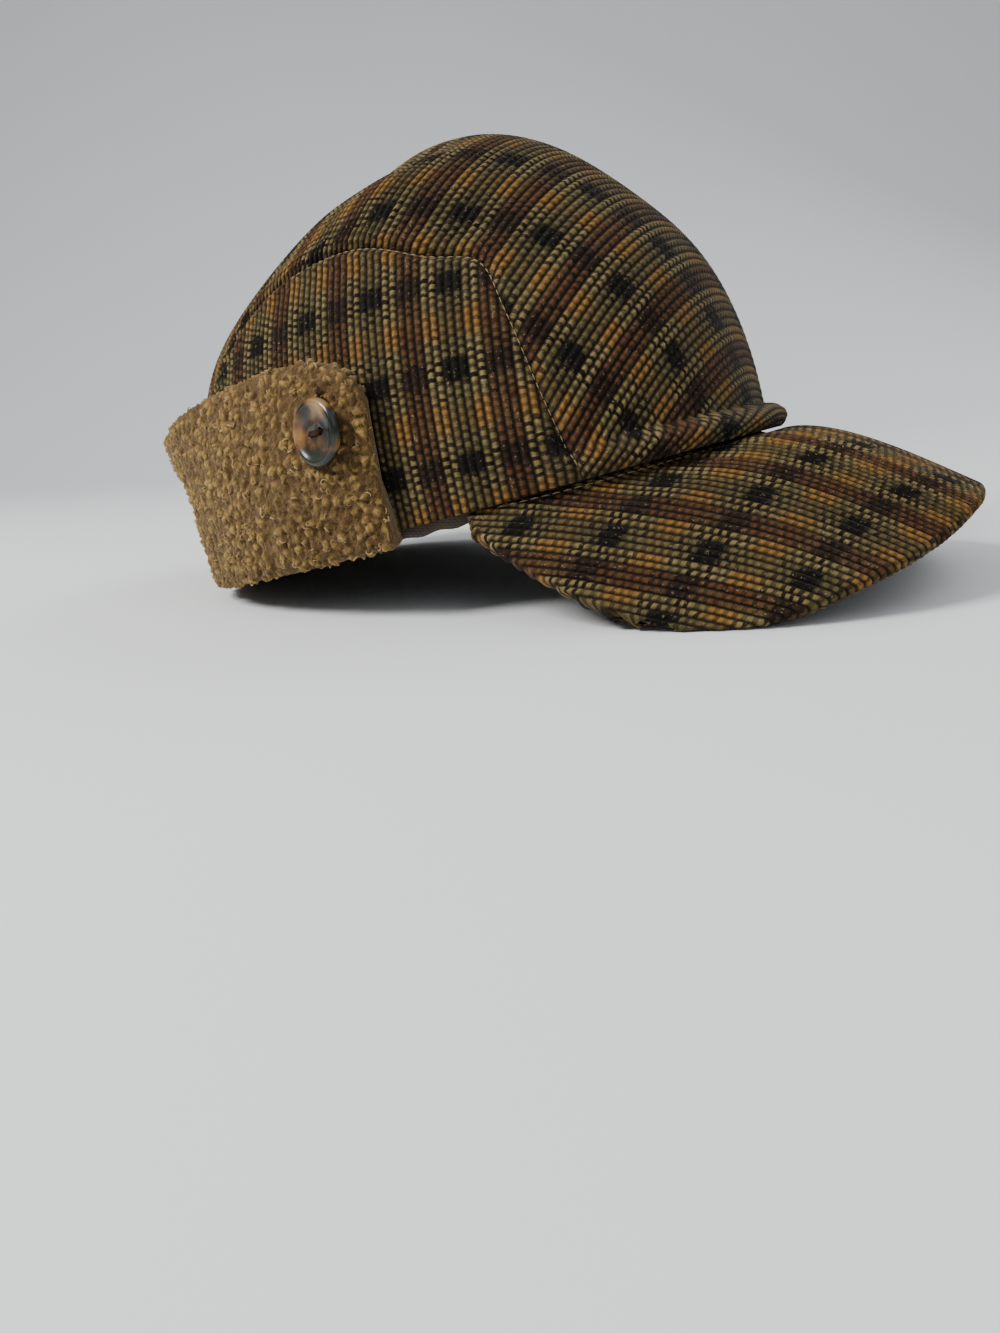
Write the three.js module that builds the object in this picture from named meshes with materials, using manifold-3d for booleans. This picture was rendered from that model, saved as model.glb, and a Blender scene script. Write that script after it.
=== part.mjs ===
// A peaked winter cap in the deerstalker manner, resting on a table as it does by itself.
// A three-panel corduroy crown stands on a stiff drooping peak. A fleece-faced ear and neck flap runs from
// temple to temple round the back, is turned up over the crown and is held by a button on each side.
// Lengths are in millimetres. Inside the hat group +X is forward, +Y the wearer's left and +Z up from the
// plane of the hem. The group is then tipped and lifted so that the peak and the back fold meet the table.

import * as THREE from 'three';
import Module from 'manifold-3d';

// The crown and its opening
const FRONT_LENGTH = 103;         // hem centre to the front of the crown
const BACK_LENGTH = 93;           // hem centre to the back of the crown
const HALF_WIDTH = 84;            // hem centre to either side of the crown
const CROWN_HEIGHT = 119;         // hem plane to the top of the crown
const APEX_LEAN = 8;              // how far the top sits forward of the hem centre
const CROWN_FULLNESS = 2.1;       // 2 is an ellipsoid, more is boxier
const CROWN_WALL = 2.2;           // corduroy and its lining
const SEAM_VALLEY = 0.7;          // how deep the cloth dips at a seam
const SEAM_VALLEY_WIDTH = 4;
const HEM_ARCH = 1.5;             // how far the hem rises at the front, over the peak
const HEM_ROLL = 7;               // how far the crown's turned hem rolls out over the peak
const HEM_ROLL_HEIGHT = 4;
const SEWN_GAP = 0.3;             // between pieces that are sewn to each other

// The cloth facing turned up inside the hem
const FACING_THICKNESS = 1.4;
const FACING_RISE = 18;
const FACING_LIP = 3;             // what shows below the crown between flap and peak
const FACING_GAP = 0.7;

// The peak
const PEAK_REACH = 59;            // hem to front edge, measured level
const PEAK_DROP = 31;             // hem to front edge, measured down
const PEAK_HALF_WIDTH = 87;
const PEAK_SIDE_DROP = 45;        // hem to the lowest stretch of the side edges
const PEAK_END_ANGLE = 70;        // degrees round the hem from the front to where the peak ends
const PEAK_THICKNESS = 4.6;       // board with its upper and lower cloth
const PEAK_UNDER_CLOTH = 1.3;
const PEAK_CAMBER = 7;            // how far the board swells between hem and edge
const PEAK_SHELF = 0.06;          // share of the reach that dips beside the hem before the swell

// The ear and neck flap
const FLAP_HEIGHT = 54;           // hem plane to the free edge
const FLAP_END_ANGLE = 81;        // degrees round the hem from the front to the flap's ends
const FLAP_CORNER = 17;           // radius of its two upper corners
const FLAP_FLARE = 11;            // how far the free edge stands out at the back
const FLAP_FOLD_DROP = 4.5;       // how far the turned fold hangs below the hem
const FLAP_FOLD_ROUNDING = 0.55;  // how far the fleece thins towards the fold, a share of half its thickness
const FLEECE_THICKNESS = 5.2;
const BACKING_THICKNESS = 1.6;
const FLAP_GAP = 0.5;             // between crown, backing and fleece
const FLAP_PRESS = 1.3;           // how far the soft fold flattens where it meets the table
const PEAK_PRESS = 0.5;           // how far the cloth of the peak's edge does

// The buttons
const BUTTON_RADIUS = 9.4;
const BUTTON_THICKNESS = 3.6;
const BUTTON_RIM = 1.8;           // width of the raised rim
const BUTTON_DISH = 1.1;          // depth of the hollow face
const BUTTON_HOLE_RADIUS = 1.0;
const BUTTON_HOLE_SPACING = 4.2;
const BUTTON_ANGLE = 88;          // degrees round the hem from the front
const BUTTON_HEIGHT = 31;         // above the hem plane
const BUTTON_TILT = 5;            // degrees that its face looks up from level
const BUTTON_TURN = 11;           // degrees that its face turns towards the back of the hat
const BUTTON_SINK = 1.5;          // how far it presses into the fleece
const BUTTON_ROOM = 0.35;
const THREAD_WELL = 2;            // depth of the dimple that the thread pulls below the button
const THREAD_RADIUS = 0.6;
const BUTTONHOLE_LENGTH = 24;
const BUTTONHOLE_WIDTH = 2.0;

const rad = THREE.MathUtils.degToRad;
const { lerp, smoothstep } = THREE.MathUtils;

// Where the two crown seams run, one row for each place along them from the front hem over the top to the
// back hem. Forward, side and up are shares of the crown's lengths, half width and height, and turn is how
// far round the centre line the same station lies, in degrees from the front hem.
const SEAM = [
  { place: 'front_hem', turn: 0, forward: 0.645, side: 0.765, up: 0.0 },
  { place: 'temple', turn: 15, forward: 0.595, side: 0.785, up: 0.24 },
  { place: 'brow', turn: 30, forward: 0.545, side: 0.755, up: 0.42 },
  { place: 'front_corner', turn: 47, forward: 0.485, side: 0.71, up: 0.56 },
  { place: 'fore_top', turn: 66, forward: 0.33, side: 0.74, up: 0.60 },
  { place: 'top', turn: 86, forward: 0.09, side: 0.73, up: 0.665 },
  { place: 'rear_top', turn: 108, forward: -0.17, side: 0.71, up: 0.67 },
  { place: 'back_corner', turn: 130, forward: -0.42, side: 0.68, up: 0.585 },
  { place: 'nape', turn: 147, forward: -0.58, side: 0.68, up: 0.42 },
  { place: 'low_nape', turn: 164, forward: -0.66, side: 0.69, up: 0.21 },
  { place: 'back_hem', turn: 180, forward: -0.70, side: 0.70, up: 0.0 },
];
// Where the cloth is sampled between those rows, closer together towards the rolled hem. The side panels
// have their upper corners at the corner rows.
const FROM_HEM_TO_CORNER = [0, 0.12, 0.28, 0.55, 1, 1.5, 2, 2.5, 3];
const OVER_THE_TOP = [3.33, 3.67, 4, 4.33, 4.67, 5, 5.33, 5.67, 6, 6.33, 6.67];
const LAST_ROW = SEAM.length - 1;
const STATIONS = [...FROM_HEM_TO_CORNER, ...OVER_THE_TOP,
  ...FROM_HEM_TO_CORNER.map((row) => LAST_ROW - row).reverse()];

// Soft dents and swells of the crown. Round is degrees from the front towards the wearer's left, lift is
// degrees above the hem plane, spread is its radius in degrees, and out is a share of the crown's height.
const DENTS = [
  { name: 'crease_over_right_seam', round: -52, lift: 46, spread: 9, out: -0.022 },
  { name: 'swell_over_right_seam', round: -62, lift: 57, spread: 10, out: 0.022 },
  { name: 'pinch_below_top', round: -50, lift: 70, spread: 7, out: -0.016 },
  { name: 'flat_behind_top_right', round: -150, lift: 74, spread: 19, out: -0.088 },
  { name: 'ridge_at_top', round: 20, lift: 84, spread: 10, out: 0.025 },
  { name: 'flat_behind_top_left', round: 140, lift: 60, spread: 20, out: -0.035 },
  { name: 'swell_at_back_right', round: -156, lift: 37, spread: 17, out: 0.042 },
  { name: 'swell_at_back_left', round: 156, lift: 34, spread: 17, out: 0.035 },
  { name: 'flat_before_top', round: 22, lift: 68, spread: 13, out: -0.014 },
  { name: 'tuck_at_back_hem_right', round: -158, lift: 2, spread: 16, out: -0.032 },
  { name: 'tuck_at_back_hem_left', round: 158, lift: 2, spread: 16, out: -0.032 },
  { name: 'crease_over_left_seam', round: 58, lift: 48, spread: 10, out: -0.018 },
  { name: 'flat_above_brow', round: 6, lift: 52, spread: 14, out: -0.012 },
];

// The peak's free edge from its centre to one end. Root is the share of the end angle, forward the share of
// the level run from the hem centre to the front edge, side a share of the half width, and drop a share of
// the side drop.
const PEAK_EDGE = [
  { place: 'front', root: 0, forward: 1.0, side: 0, drop: PEAK_DROP / PEAK_SIDE_DROP },
  { place: 'front_turn', root: 0.17, forward: 0.99, side: 0.25, drop: 0.695 },
  { place: 'front_corner', root: 0.31, forward: 0.955, side: 0.46, drop: 0.76 },
  { place: 'fore_corner', root: 0.43, forward: 0.9, side: 0.625, drop: 0.83 },
  { place: 'corner', root: 0.53, forward: 0.83, side: 0.75, drop: 0.895 },
  { place: 'side_corner', root: 0.61, forward: 0.75, side: 0.85, drop: 0.95 },
  { place: 'side', root: 0.69, forward: 0.66, side: 0.92, drop: 0.965 },
  { place: 'widest', root: 0.78, forward: 0.555, side: 0.975, drop: 0.88 },
  { place: 'rear_side', root: 0.86, forward: 0.445, side: 1.0, drop: 0.67 },
  { place: 'rear_turn', root: 0.93, forward: 0.345, side: 0.985, drop: 0.42 },
  { place: 'end', root: 1.0, forward: 0.25, side: 0.945, drop: 0.1 },
];

// The flap along its run from one end to the middle of the back: height and flare as shares.
const FLAP_RUN = [
  { place: 'front_end', run: 0, height: 0.93, flare: 0.0 },
  { place: 'button', run: 0.12, height: 0.97, flare: 0.02 },
  { place: 'behind_ear', run: 0.35, height: 0.99, flare: 0.12 },
  { place: 'back_corner', run: 0.6, height: 0.97, flare: 0.5 },
  { place: 'back_side', run: 0.8, height: 0.9, flare: 0.95 },
  { place: 'centre_back', run: 1.0, height: 0.88, flare: 1.0 },
];
const FLAP_BEND = 0.36;           // share of the flap's height where the flare starts

// Reads a column of a table as a smooth function of another column.
function columnCurve(table, keyColumn, valueColumn) {
  const points = table.map((row) => new THREE.Vector3(row[keyColumn], row[valueColumn], 0));
  return (key) => {
    let i = 1;
    while (i < points.length - 1 && key > points[i].x) i += 1;
    const [before, from] = [points[Math.max(i - 2, 0)], points[i - 1]];
    const [to, after] = [points[i], points[Math.min(i + 1, points.length - 1)]];
    const share = THREE.MathUtils.clamp((key - from.x) / (to.x - from.x), 0, 1);
    const slopeFrom = (to.y - before.y) / (to.x - before.x);
    const slopeTo = (after.y - from.y) / (after.x - from.x);
    const span = to.x - from.x;
    const s2 = share * share;
    const s3 = s2 * share;
    return (2 * s3 - 3 * s2 + 1) * from.y + (s3 - 2 * s2 + share) * span * slopeFrom
      + (3 * s2 - 2 * s3) * to.y + (s3 - s2) * span * slopeTo;
  };
}

// The crown as a soft dome

const signedPower = (x, power) => Math.sign(x) * Math.abs(x) ** power;

// How far round the front of the hem a direction lies, 1 at the middle and 0 past the peak's ends.
function frontShare(direction) {
  const cosine = direction.x / Math.hypot(direction.x, direction.y);
  return smoothstep(cosine, Math.cos(rad(PEAK_END_ANGLE)), 1);
}

// The rolled hem stands out most a little above its lower edge.
function hemRoll(direction, height) {
  const away = (height - HEM_ROLL_HEIGHT) / HEM_ROLL_HEIGHT;
  return HEM_ROLL * frontShare(direction) ** 2 * Math.exp(-away * away);
}

const hemHeight = (direction) => HEM_ARCH * frontShare(direction);

// The point where a direction from the hem centre meets the crown, before the hem is rolled.
function domePoint(direction) {
  const d = direction.clone().normalize();
  const leaned = d.x - (APEX_LEAN * d.z) / CROWN_HEIGHT;
  const length = leaned > 0 ? FRONT_LENGTH : BACK_LENGTH;
  const n = CROWN_FULLNESS;
  const sum = Math.abs(leaned / length) ** n + Math.abs(d.y / HALF_WIDTH) ** n
    + Math.abs(d.z / CROWN_HEIGHT) ** n;
  let reach = sum ** (-1 / n);
  for (const dent of DENTS) {
    const level = Math.cos(rad(dent.lift));
    const aim = new THREE.Vector3(level * Math.cos(rad(dent.round)), level * Math.sin(rad(dent.round)),
      Math.sin(rad(dent.lift)));
    const away = THREE.MathUtils.radToDeg(aim.angleTo(d)) / dent.spread;
    reach += dent.out * CROWN_HEIGHT * Math.exp(-away * away);
  }
  return d.multiplyScalar(reach);
}

function domeNormal(direction) {
  const d = direction.clone().normalize();
  const across = new THREE.Vector3(-d.y, d.x, 0);
  if (across.length() < 1e-6) across.set(0, 1, 0);
  across.normalize();
  const upward = new THREE.Vector3().crossVectors(d, across).negate();
  const step = 0.01;
  const along = (axis) => domePoint(d.clone().addScaledVector(axis, step))
    .sub(domePoint(d.clone().addScaledVector(axis, -step)));
  const normal = new THREE.Vector3().crossVectors(along(across), along(upward)).normalize();
  return normal.dot(d) < 0 ? normal.negate() : normal;
}

// A point on the crown, moved out along its normal by lift.
function crownSurface(direction, lift) {
  return domePoint(direction).addScaledVector(domeNormal(direction), lift);
}

// The crown's outline at one height, round is radians from the front towards the left.
function crownRing(round, height) {
  const up = Math.max(height, 0) / CROWN_HEIGHT;
  const n = CROWN_FULLNESS;
  const share = (1 - up ** n) ** (1 / n);
  const length = Math.cos(round) > 0 ? FRONT_LENGTH : BACK_LENGTH;
  const point = new THREE.Vector3(APEX_LEAN * up + length * share * signedPower(Math.cos(round), 2 / n),
    HALF_WIDTH * share * signedPower(Math.sin(round), 2 / n), Math.max(height, 0));
  for (let i = 0; i < 5; i += 1) {
    const scale = domePoint(point).length() / point.length();
    point.set(point.x * scale, point.y * scale, point.z);
  }
  return point.setZ(height);
}

// The level direction that points straight out of the crown there.
function ringOutward(round, height) {
  const step = 0.02;
  const along = crownRing(round + step, height).sub(crownRing(round - step, height));
  return new THREE.Vector3(along.y, -along.x, 0).normalize();
}

// Meshes from rows of points

function meshFromFaces(points, faces) {
  const geometry = new THREE.BufferGeometry();
  geometry.setAttribute('position', new THREE.Float32BufferAttribute(points.flatMap((p) => p.toArray()), 3));
  geometry.setIndex(faces.flat());
  geometry.computeVertexNormals();
  return geometry;
}

// A closed wall between an outer and an inner grid of points with as many rows and columns.
function wallBetween(outer, inner) {
  const rows = outer.length;
  const columns = outer[0].length;
  const points = [...outer.flat(), ...inner.flat()];
  const out = (r, c) => r * columns + c;
  const into = (r, c) => rows * columns + r * columns + c;
  const faces = [];
  const quad = (a, b, c, d) => faces.push([a, b, c], [a, c, d]);
  for (let r = 0; r < rows - 1; r += 1) {
    for (let c = 0; c < columns - 1; c += 1) {
      quad(out(r, c), out(r, c + 1), out(r + 1, c + 1), out(r + 1, c));
      quad(into(r, c), into(r + 1, c), into(r + 1, c + 1), into(r, c + 1));
    }
  }
  for (let c = 0; c < columns - 1; c += 1) {
    quad(out(0, c + 1), out(0, c), into(0, c), into(0, c + 1));
    quad(out(rows - 1, c), out(rows - 1, c + 1), into(rows - 1, c + 1), into(rows - 1, c));
  }
  for (let r = 0; r < rows - 1; r += 1) {
    quad(out(r, 0), out(r + 1, 0), into(r + 1, 0), into(r, 0));
    quad(out(r + 1, columns - 1), out(r, columns - 1), into(r, columns - 1), into(r + 1, columns - 1));
  }
  return meshFromFaces(points, faces);
}

// A closed body through sections that all have the same outline points. Flat holds one section's points in
// its own plane, for the two end caps, and a ring of sections has no caps.
function loftThrough(sections, flat, ring) {
  const count = sections[0].length;
  const points = sections.flat();
  const faces = [];
  const last = ring ? sections.length : sections.length - 1;
  for (let s = 0; s < last; s += 1) {
    const next = (s + 1) % sections.length;
    for (let i = 0; i < count; i += 1) {
      const j = (i + 1) % count;
      faces.push([s * count + i, s * count + j, next * count + j]);
      faces.push([s * count + i, next * count + j, next * count + i]);
    }
  }
  if (!ring) {
    for (const [a, b, c] of THREE.ShapeUtils.triangulateShape(flat, [])) {
      const end = (sections.length - 1) * count;
      faces.push([a, c, b], [end + a, end + b, end + c]);
    }
  }
  return meshFromFaces(points, faces);
}

// Turns a mesh the right way out, by the sign of its volume.
function facingOut(geometry) {
  const p = geometry.getAttribute('position');
  const index = geometry.getIndex().array;
  const at = (i) => new THREE.Vector3().fromBufferAttribute(p, i);
  let volume = 0;
  for (let i = 0; i < index.length; i += 3) {
    volume += at(index[i]).dot(at(index[i + 1]).cross(at(index[i + 2])));
  }
  if (volume < 0) {
    for (let i = 0; i < index.length; i += 3) [index[i + 1], index[i + 2]] = [index[i + 2], index[i + 1]];
  }
  geometry.computeVertexNormals();
  return geometry;
}

// Boolean joins and cuts

const wasm = await Module();
wasm.setup();

function solidOf(geometry) {
  const index = geometry.getIndex().array;
  return new wasm.Manifold(new wasm.Mesh({
    numProp: 3,
    vertProperties: new Float32Array(geometry.getAttribute('position').array),
    triVerts: new Uint32Array(index),
  }));
}

function geometryOf(solid) {
  const mesh = solid.getMesh();
  const geometry = new THREE.BufferGeometry();
  geometry.setAttribute('position', new THREE.Float32BufferAttribute(mesh.vertProperties, 3));
  geometry.setIndex([...mesh.triVerts]);
  geometry.computeVertexNormals();
  return geometry;
}

// A turned body with merged points, its axis along Z.
function turned(profile, segments) {
  const count = profile.length;
  const points = [];
  const faces = [];
  const ringStart = [];
  profile.forEach(([radius, z]) => {
    ringStart.push(points.length);
    const steps = radius < 1e-6 ? 1 : segments;
    for (let s = 0; s < steps; s += 1) {
      const angle = (s / segments) * Math.PI * 2;
      points.push(new THREE.Vector3(radius * Math.cos(angle), radius * Math.sin(angle), z));
    }
  });
  for (let i = 0; i < count - 1; i += 1) {
    const pole = [profile[i][0] < 1e-6, profile[i + 1][0] < 1e-6];
    for (let s = 0; s < segments; s += 1) {
      const t = (s + 1) % segments;
      const [a, b] = [ringStart[i] + (pole[0] ? 0 : s), ringStart[i] + (pole[0] ? 0 : t)];
      const [c, d] = [ringStart[i + 1] + (pole[1] ? 0 : t), ringStart[i + 1] + (pole[1] ? 0 : s)];
      if (!pole[0]) faces.push([a, b, c]);
      if (!pole[1]) faces.push([a, c, d]);
    }
  }
  return facingOut(meshFromFaces(points, faces));
}

// The crown's three panels

// One seam from front hem to back hem, side is 1 for the wearer's left and -1 for the right.
function seamStations(side) {
  const rows = SEAM.map((row) => {
    const length = row.forward > 0 ? FRONT_LENGTH : BACK_LENGTH;
    return new THREE.Vector3(row.forward * length, side * row.side * HALF_WIDTH, row.up * CROWN_HEIGHT);
  });
  const curve = new THREE.CatmullRomCurve3(rows, false, 'centripetal');
  return STATIONS.map((row) => {
    const point = domePoint(curve.getPoint(row / LAST_ROW));
    return row === 0 || row === LAST_ROW ? point.setZ(0) : point;
  });
}

// The seam moved along the cloth by a distance, away from the centre line where it is positive.
function seamEdge(stations, side, distance) {
  return stations.map((point, i) => {
    const before = stations[Math.max(i - 1, 0)];
    const after = stations[Math.min(i + 1, stations.length - 1)];
    const along = after.clone().sub(before).normalize();
    const across = new THREE.Vector3().crossVectors(along, domeNormal(point)).multiplyScalar(side);
    const moved = point.clone().addScaledVector(across.normalize(), distance);
    if (i === 0 || i === stations.length - 1) moved.z = 0;
    return moved;
  });
}

const turnOf = columnCurve(SEAM.map((row, i) => ({ i, turn: row.turn })), 'i', 'turn');

function centreDirection(station) {
  const turn = rad(turnOf(STATIONS[station]));
  const length = turn < Math.PI / 2 ? FRONT_LENGTH : BACK_LENGTH;
  return new THREE.Vector3(length * Math.cos(turn) + APEX_LEAN * Math.sin(turn), 0,
    CROWN_HEIGHT * Math.sin(turn));
}

// Outer and inner points of the crown for a grid of directions. Edge says how far a grid place lies from
// the nearest seam, in millimetres, so that the cloth can dip there.
function crownWall(directions, edgeDistance) {
  const layer = (inward) => directions.map((row, r) => row.map((direction, c) => {
    const valley = SEAM_VALLEY * (1 - smoothstep(edgeDistance(r, c), 0, SEAM_VALLEY_WIDTH));
    const point = crownSurface(direction, inward ? -CROWN_WALL : -valley);
    if (!inward) {
      const level = new THREE.Vector3(direction.x, direction.y, 0).normalize();
      point.addScaledVector(level, hemRoll(direction, point.z));
    }
    if (direction.z < 1e-6) point.z = hemHeight(direction);
    return point;
  }));
  return facingOut(wallBetween(layer(false), layer(true)));
}

const ACROSS_CENTRE = [0, 0.03, 0.1, 0.2, 0.3, 0.4, 0.5, 0.6, 0.7, 0.8, 0.9, 0.97, 1];

function centrePanel() {
  const edges = [-1, 1].map((side) => seamEdge(seamStations(side), side, -SEWN_GAP / 2));
  const width = edges[0][10].distanceTo(edges[1][10]);
  const directions = edges[0].map((right, i) => {
    const left = edges[1][i];
    const middle = centreDirection(i);
    return ACROSS_CENTRE.map((share) => {
      // a smooth bow from seam to seam through the centre line
      const bow = new THREE.QuadraticBezierCurve3(right,
        middle.clone().multiplyScalar(2).addScaledVector(right, -0.5).addScaledVector(left, -0.5), left);
      const direction = bow.getPoint(share);
      if (i === 0 || i === edges[0].length - 1) direction.z = 0;
      return direction;
    });
  });
  return crownWall(directions, (r, c) => Math.min(ACROSS_CENTRE[c], 1 - ACROSS_CENTRE[c]) * width);
}

function sidePanel(side) {
  const seam = seamEdge(seamStations(side), side, SEWN_GAP / 2);
  const frontCorner = FROM_HEM_TO_CORNER.length - 1;
  const lastStation = seam.length - 1;
  const backCorner = lastStation - frontCorner;
  const front = seam.slice(0, frontCorner + 1);
  const top = seam.slice(frontCorner, backCorner + 1);
  const back = seam.slice(backCorner).reverse();
  const bottomFrom = Math.atan2(seam[0].y, seam[0].x);
  const bottomTo = Math.atan2(seam[lastStation].y, seam[lastStation].x);
  const bottom = top.map((_, c) => {
    const round = lerp(bottomFrom, bottomTo, c / (top.length - 1));
    return domePoint(new THREE.Vector3(Math.cos(round), Math.sin(round), 0));
  });
  bottom[0].copy(seam[0]);
  bottom[bottom.length - 1].copy(seam[lastStation]);
  const rows = front.length - 1;
  const columns = top.length - 1;
  const directions = front.map((frontPoint, r) => top.map((topPoint, c) => {
    const [up, along] = [FROM_HEM_TO_CORNER[r] / FROM_HEM_TO_CORNER[rows], c / columns];
    const across = frontPoint.clone().lerp(back[r], along);
    const upward = bottom[c].clone().lerp(topPoint, up);
    const corners = bottom[0].clone().lerp(bottom[columns], along)
      .lerp(top[0].clone().lerp(top[columns], along), up);
    const direction = across.add(upward).sub(corners);
    if (r === 0) direction.z = 0;
    return direction;
  }));
  const nearSeam = (r, c) => (r === rows || c === 0 || c === columns ? 0 : SEAM_VALLEY_WIDTH);
  return crownWall(directions, nearSeam);
}

// The facing inside the hem

function hemFacing() {
  const stations = 60;
  const sections = Array.from({ length: stations }, (_, i) => {
    const round = (i / stations) * Math.PI * 2;
    const outer = CROWN_WALL + FACING_GAP;
    const lip = hemHeight(new THREE.Vector3(Math.cos(round), Math.sin(round), 0)) - FACING_LIP;
    const at = (inset, height) => crownRing(round, height)
      .addScaledVector(ringOutward(round, height), -inset);
    return [at(outer, lip), at(outer, FACING_RISE / 2), at(outer, FACING_RISE),
      at(outer + FACING_THICKNESS, FACING_RISE), at(outer + FACING_THICKNESS, lip)];
  });
  return facingOut(loftThrough(sections, null, true));
}

// The peak

const rightHalf = PEAK_EDGE.slice(1).reverse().map((row) => ({ ...row, root: -row.root, side: -row.side }));
const edgeColumn = Object.fromEntries(['forward', 'side', 'drop']
  .map((name) => [name, columnCurve([...rightHalf, ...PEAK_EDGE], 'root', name)]));

// A point of the board's upper face. Across runs from -1 at the right end to 1 at the left end, and out
// from 0 at the hem to 1 at the free edge.
function peakSurface(across, out) {
  const share = Math.abs(across);
  const round = rad(PEAK_END_ANGLE) * across;
  const root = crownRing(round, 0).addScaledVector(ringOutward(round, 0), -CROWN_WALL);
  root.z = hemHeight(root) - SEWN_GAP;
  const edge = new THREE.Vector3((FRONT_LENGTH + PEAK_REACH) * edgeColumn.forward(across),
    PEAK_HALF_WIDTH * edgeColumn.side(across), -PEAK_SIDE_DROP * edgeColumn.drop(across));
  const point = root.lerp(edge, out);
  const bow = Math.max(out - PEAK_SHELF, 0) / (1 - PEAK_SHELF);
  point.z += PEAK_CAMBER * Math.sin(Math.PI * bow ** 0.7) * (1 - share * share);
  return point;
}

function peakNormal(across, out) {
  const step = 0.01;
  const limit = (x) => THREE.MathUtils.clamp(x, -1 + step, 1 - step);
  const [a, o] = [limit(across), THREE.MathUtils.clamp(out, step, 1 - step)];
  const sideways = peakSurface(a + step, o).sub(peakSurface(a - step, o));
  const outward = peakSurface(a, o + step).sub(peakSurface(a, o - step));
  return new THREE.Vector3().crossVectors(outward, sideways).normalize();
}

const PEAK_ROWS = [0, 0.07, 0.18, 0.36, 0.58, 0.8, 0.955, 1];
const PEAK_COLUMNS = 24;

// A layer of the peak between two depths below its upper face. The free edge is rounded over.
function peakLayer(from, to) {
  const grid = (depth) => PEAK_ROWS.map((out) => Array.from({ length: PEAK_COLUMNS + 1 }, (_, c) => {
    const across = (c / PEAK_COLUMNS) * 2 - 1;
    const middle = PEAK_THICKNESS / 2;
    const toEdge = (1 - out) * PEAK_REACH;
    const rounding = toEdge < middle ? Math.sqrt(1 - (1 - toEdge / middle) ** 2) * 0.75 + 0.25 : 1;
    const rounded = middle + (depth - middle) * rounding;
    const lean = smoothstep(out, 0, 0.12) * (1 - 0.8 * smoothstep(Math.abs(across), 0.8, 1));
    const through = new THREE.Vector3(0, 0, 1).lerp(peakNormal(across, out), lean);
    return peakSurface(across, out).addScaledVector(through.normalize(), -rounded);
  }));
  return facingOut(wallBetween(grid(from), grid(to)));
}

// The flap

const flapColumn = Object.fromEntries(['height', 'flare']
  .map((name) => [name, columnCurve(FLAP_RUN, 'run', name)]));
const FLAP_END_STATIONS = [0, 2, 5, 9, 14, 20];    // millimetres from each end
const FLAP_MIDDLE_STATIONS = 26;

// Places along the flap from the right end round the back to the left end, as angles round the hem.
function flapStations() {
  const millimetre = 1 / HALF_WIDTH;
  const start = rad(FLAP_END_ANGLE);
  const ends = FLAP_END_STATIONS.map((x) => (x / 20) * FLAP_CORNER * millimetre);
  const from = start + ends[ends.length - 1];
  const until = Math.PI * 2 - from;
  const middle = Array.from({ length: FLAP_MIDDLE_STATIONS - 1 },
    (_, i) => lerp(from, until, (i + 1) / FLAP_MIDDLE_STATIONS));
  const rightEnd = ends.map((x) => start + x);
  return [...rightEnd, ...middle, ...rightEnd.map((x) => Math.PI * 2 - x).reverse()];
}

// How high the flap's free edge stands at an angle, with its corners rounded.
function flapTop(round) {
  const half = Math.PI - rad(FLAP_END_ANGLE);
  const fromEnd = Math.max(half - Math.abs(Math.PI - round), 0);
  const height = FLAP_HEIGHT * flapColumn.height(fromEnd / half);
  const inside = Math.min(fromEnd * HALF_WIDTH, FLAP_CORNER);
  return height - FLAP_CORNER + Math.sqrt(FLAP_CORNER ** 2 - (FLAP_CORNER - inside) ** 2);
}

// A point of the flap, off is its distance out from the crown before the flare.
function flapPoint(round, off, height) {
  const half = Math.PI - rad(FLAP_END_ANGLE);
  const fromEnd = THREE.MathUtils.clamp((half - Math.abs(Math.PI - round)) / half, 0, 1);
  const bend = FLAP_HEIGHT * FLAP_BEND;
  const lean = FLAP_FLARE * flapColumn.flare(fromEnd)
    * smoothstep(height, bend, FLAP_HEIGHT) * (1 + Math.max(height - FLAP_HEIGHT, 0) / FLAP_HEIGHT);
  return crownRing(round, height).addScaledVector(ringOutward(round, height), off + lean);
}

const RISE = [0.0, 0.12, 0.28, 0.45, 0.6, 0.75, 0.88, 1];

// The fleece goes under the hem, turns up outside the backing and ends in a rolled free edge.
function fleeceOutline(top) {
  const inner = FLAP_GAP * 2 + BACKING_THICKNESS;
  const outer = inner + FLEECE_THICKNESS;
  const roll = FLEECE_THICKNESS / 2;
  const bottom = -FLAP_FOLD_DROP;
  const under = [[-CROWN_WALL, -FLAP_GAP], [-CROWN_WALL, bottom * 0.55], [-CROWN_WALL * 0.5, bottom * 0.9],
    [inner * 0.4, bottom], [inner + roll * 0.6, bottom], [inner + roll * 1.1, bottom * 0.7]];
  const outside = RISE.map((share) => {
    const height = lerp(bottom * 0.2, top - roll, share);
    return [outer - roll * FLAP_FOLD_ROUNDING * (1 - smoothstep(height, 0, FLAP_HEIGHT / 3)), height];
  });
  const shoulder = top - roll * 0.3;
  const over = [[outer - roll * 0.35, shoulder], [inner + roll, top], [inner + roll * 0.35, shoulder]];
  const inside = RISE.map((share) => [inner, share === 0 ? -FLAP_GAP : (top - roll) * share]).reverse();
  return [...under, ...outside, ...over, ...inside];
}

function backingOutline(top) {
  const inner = FLAP_GAP;
  const outer = inner + BACKING_THICKNESS;
  const edge = top - FLEECE_THICKNESS / 2;
  const face = (off) => RISE.map((share) => [off, edge * share]);
  return [...face(outer), ...face(inner).reverse()];
}

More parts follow.
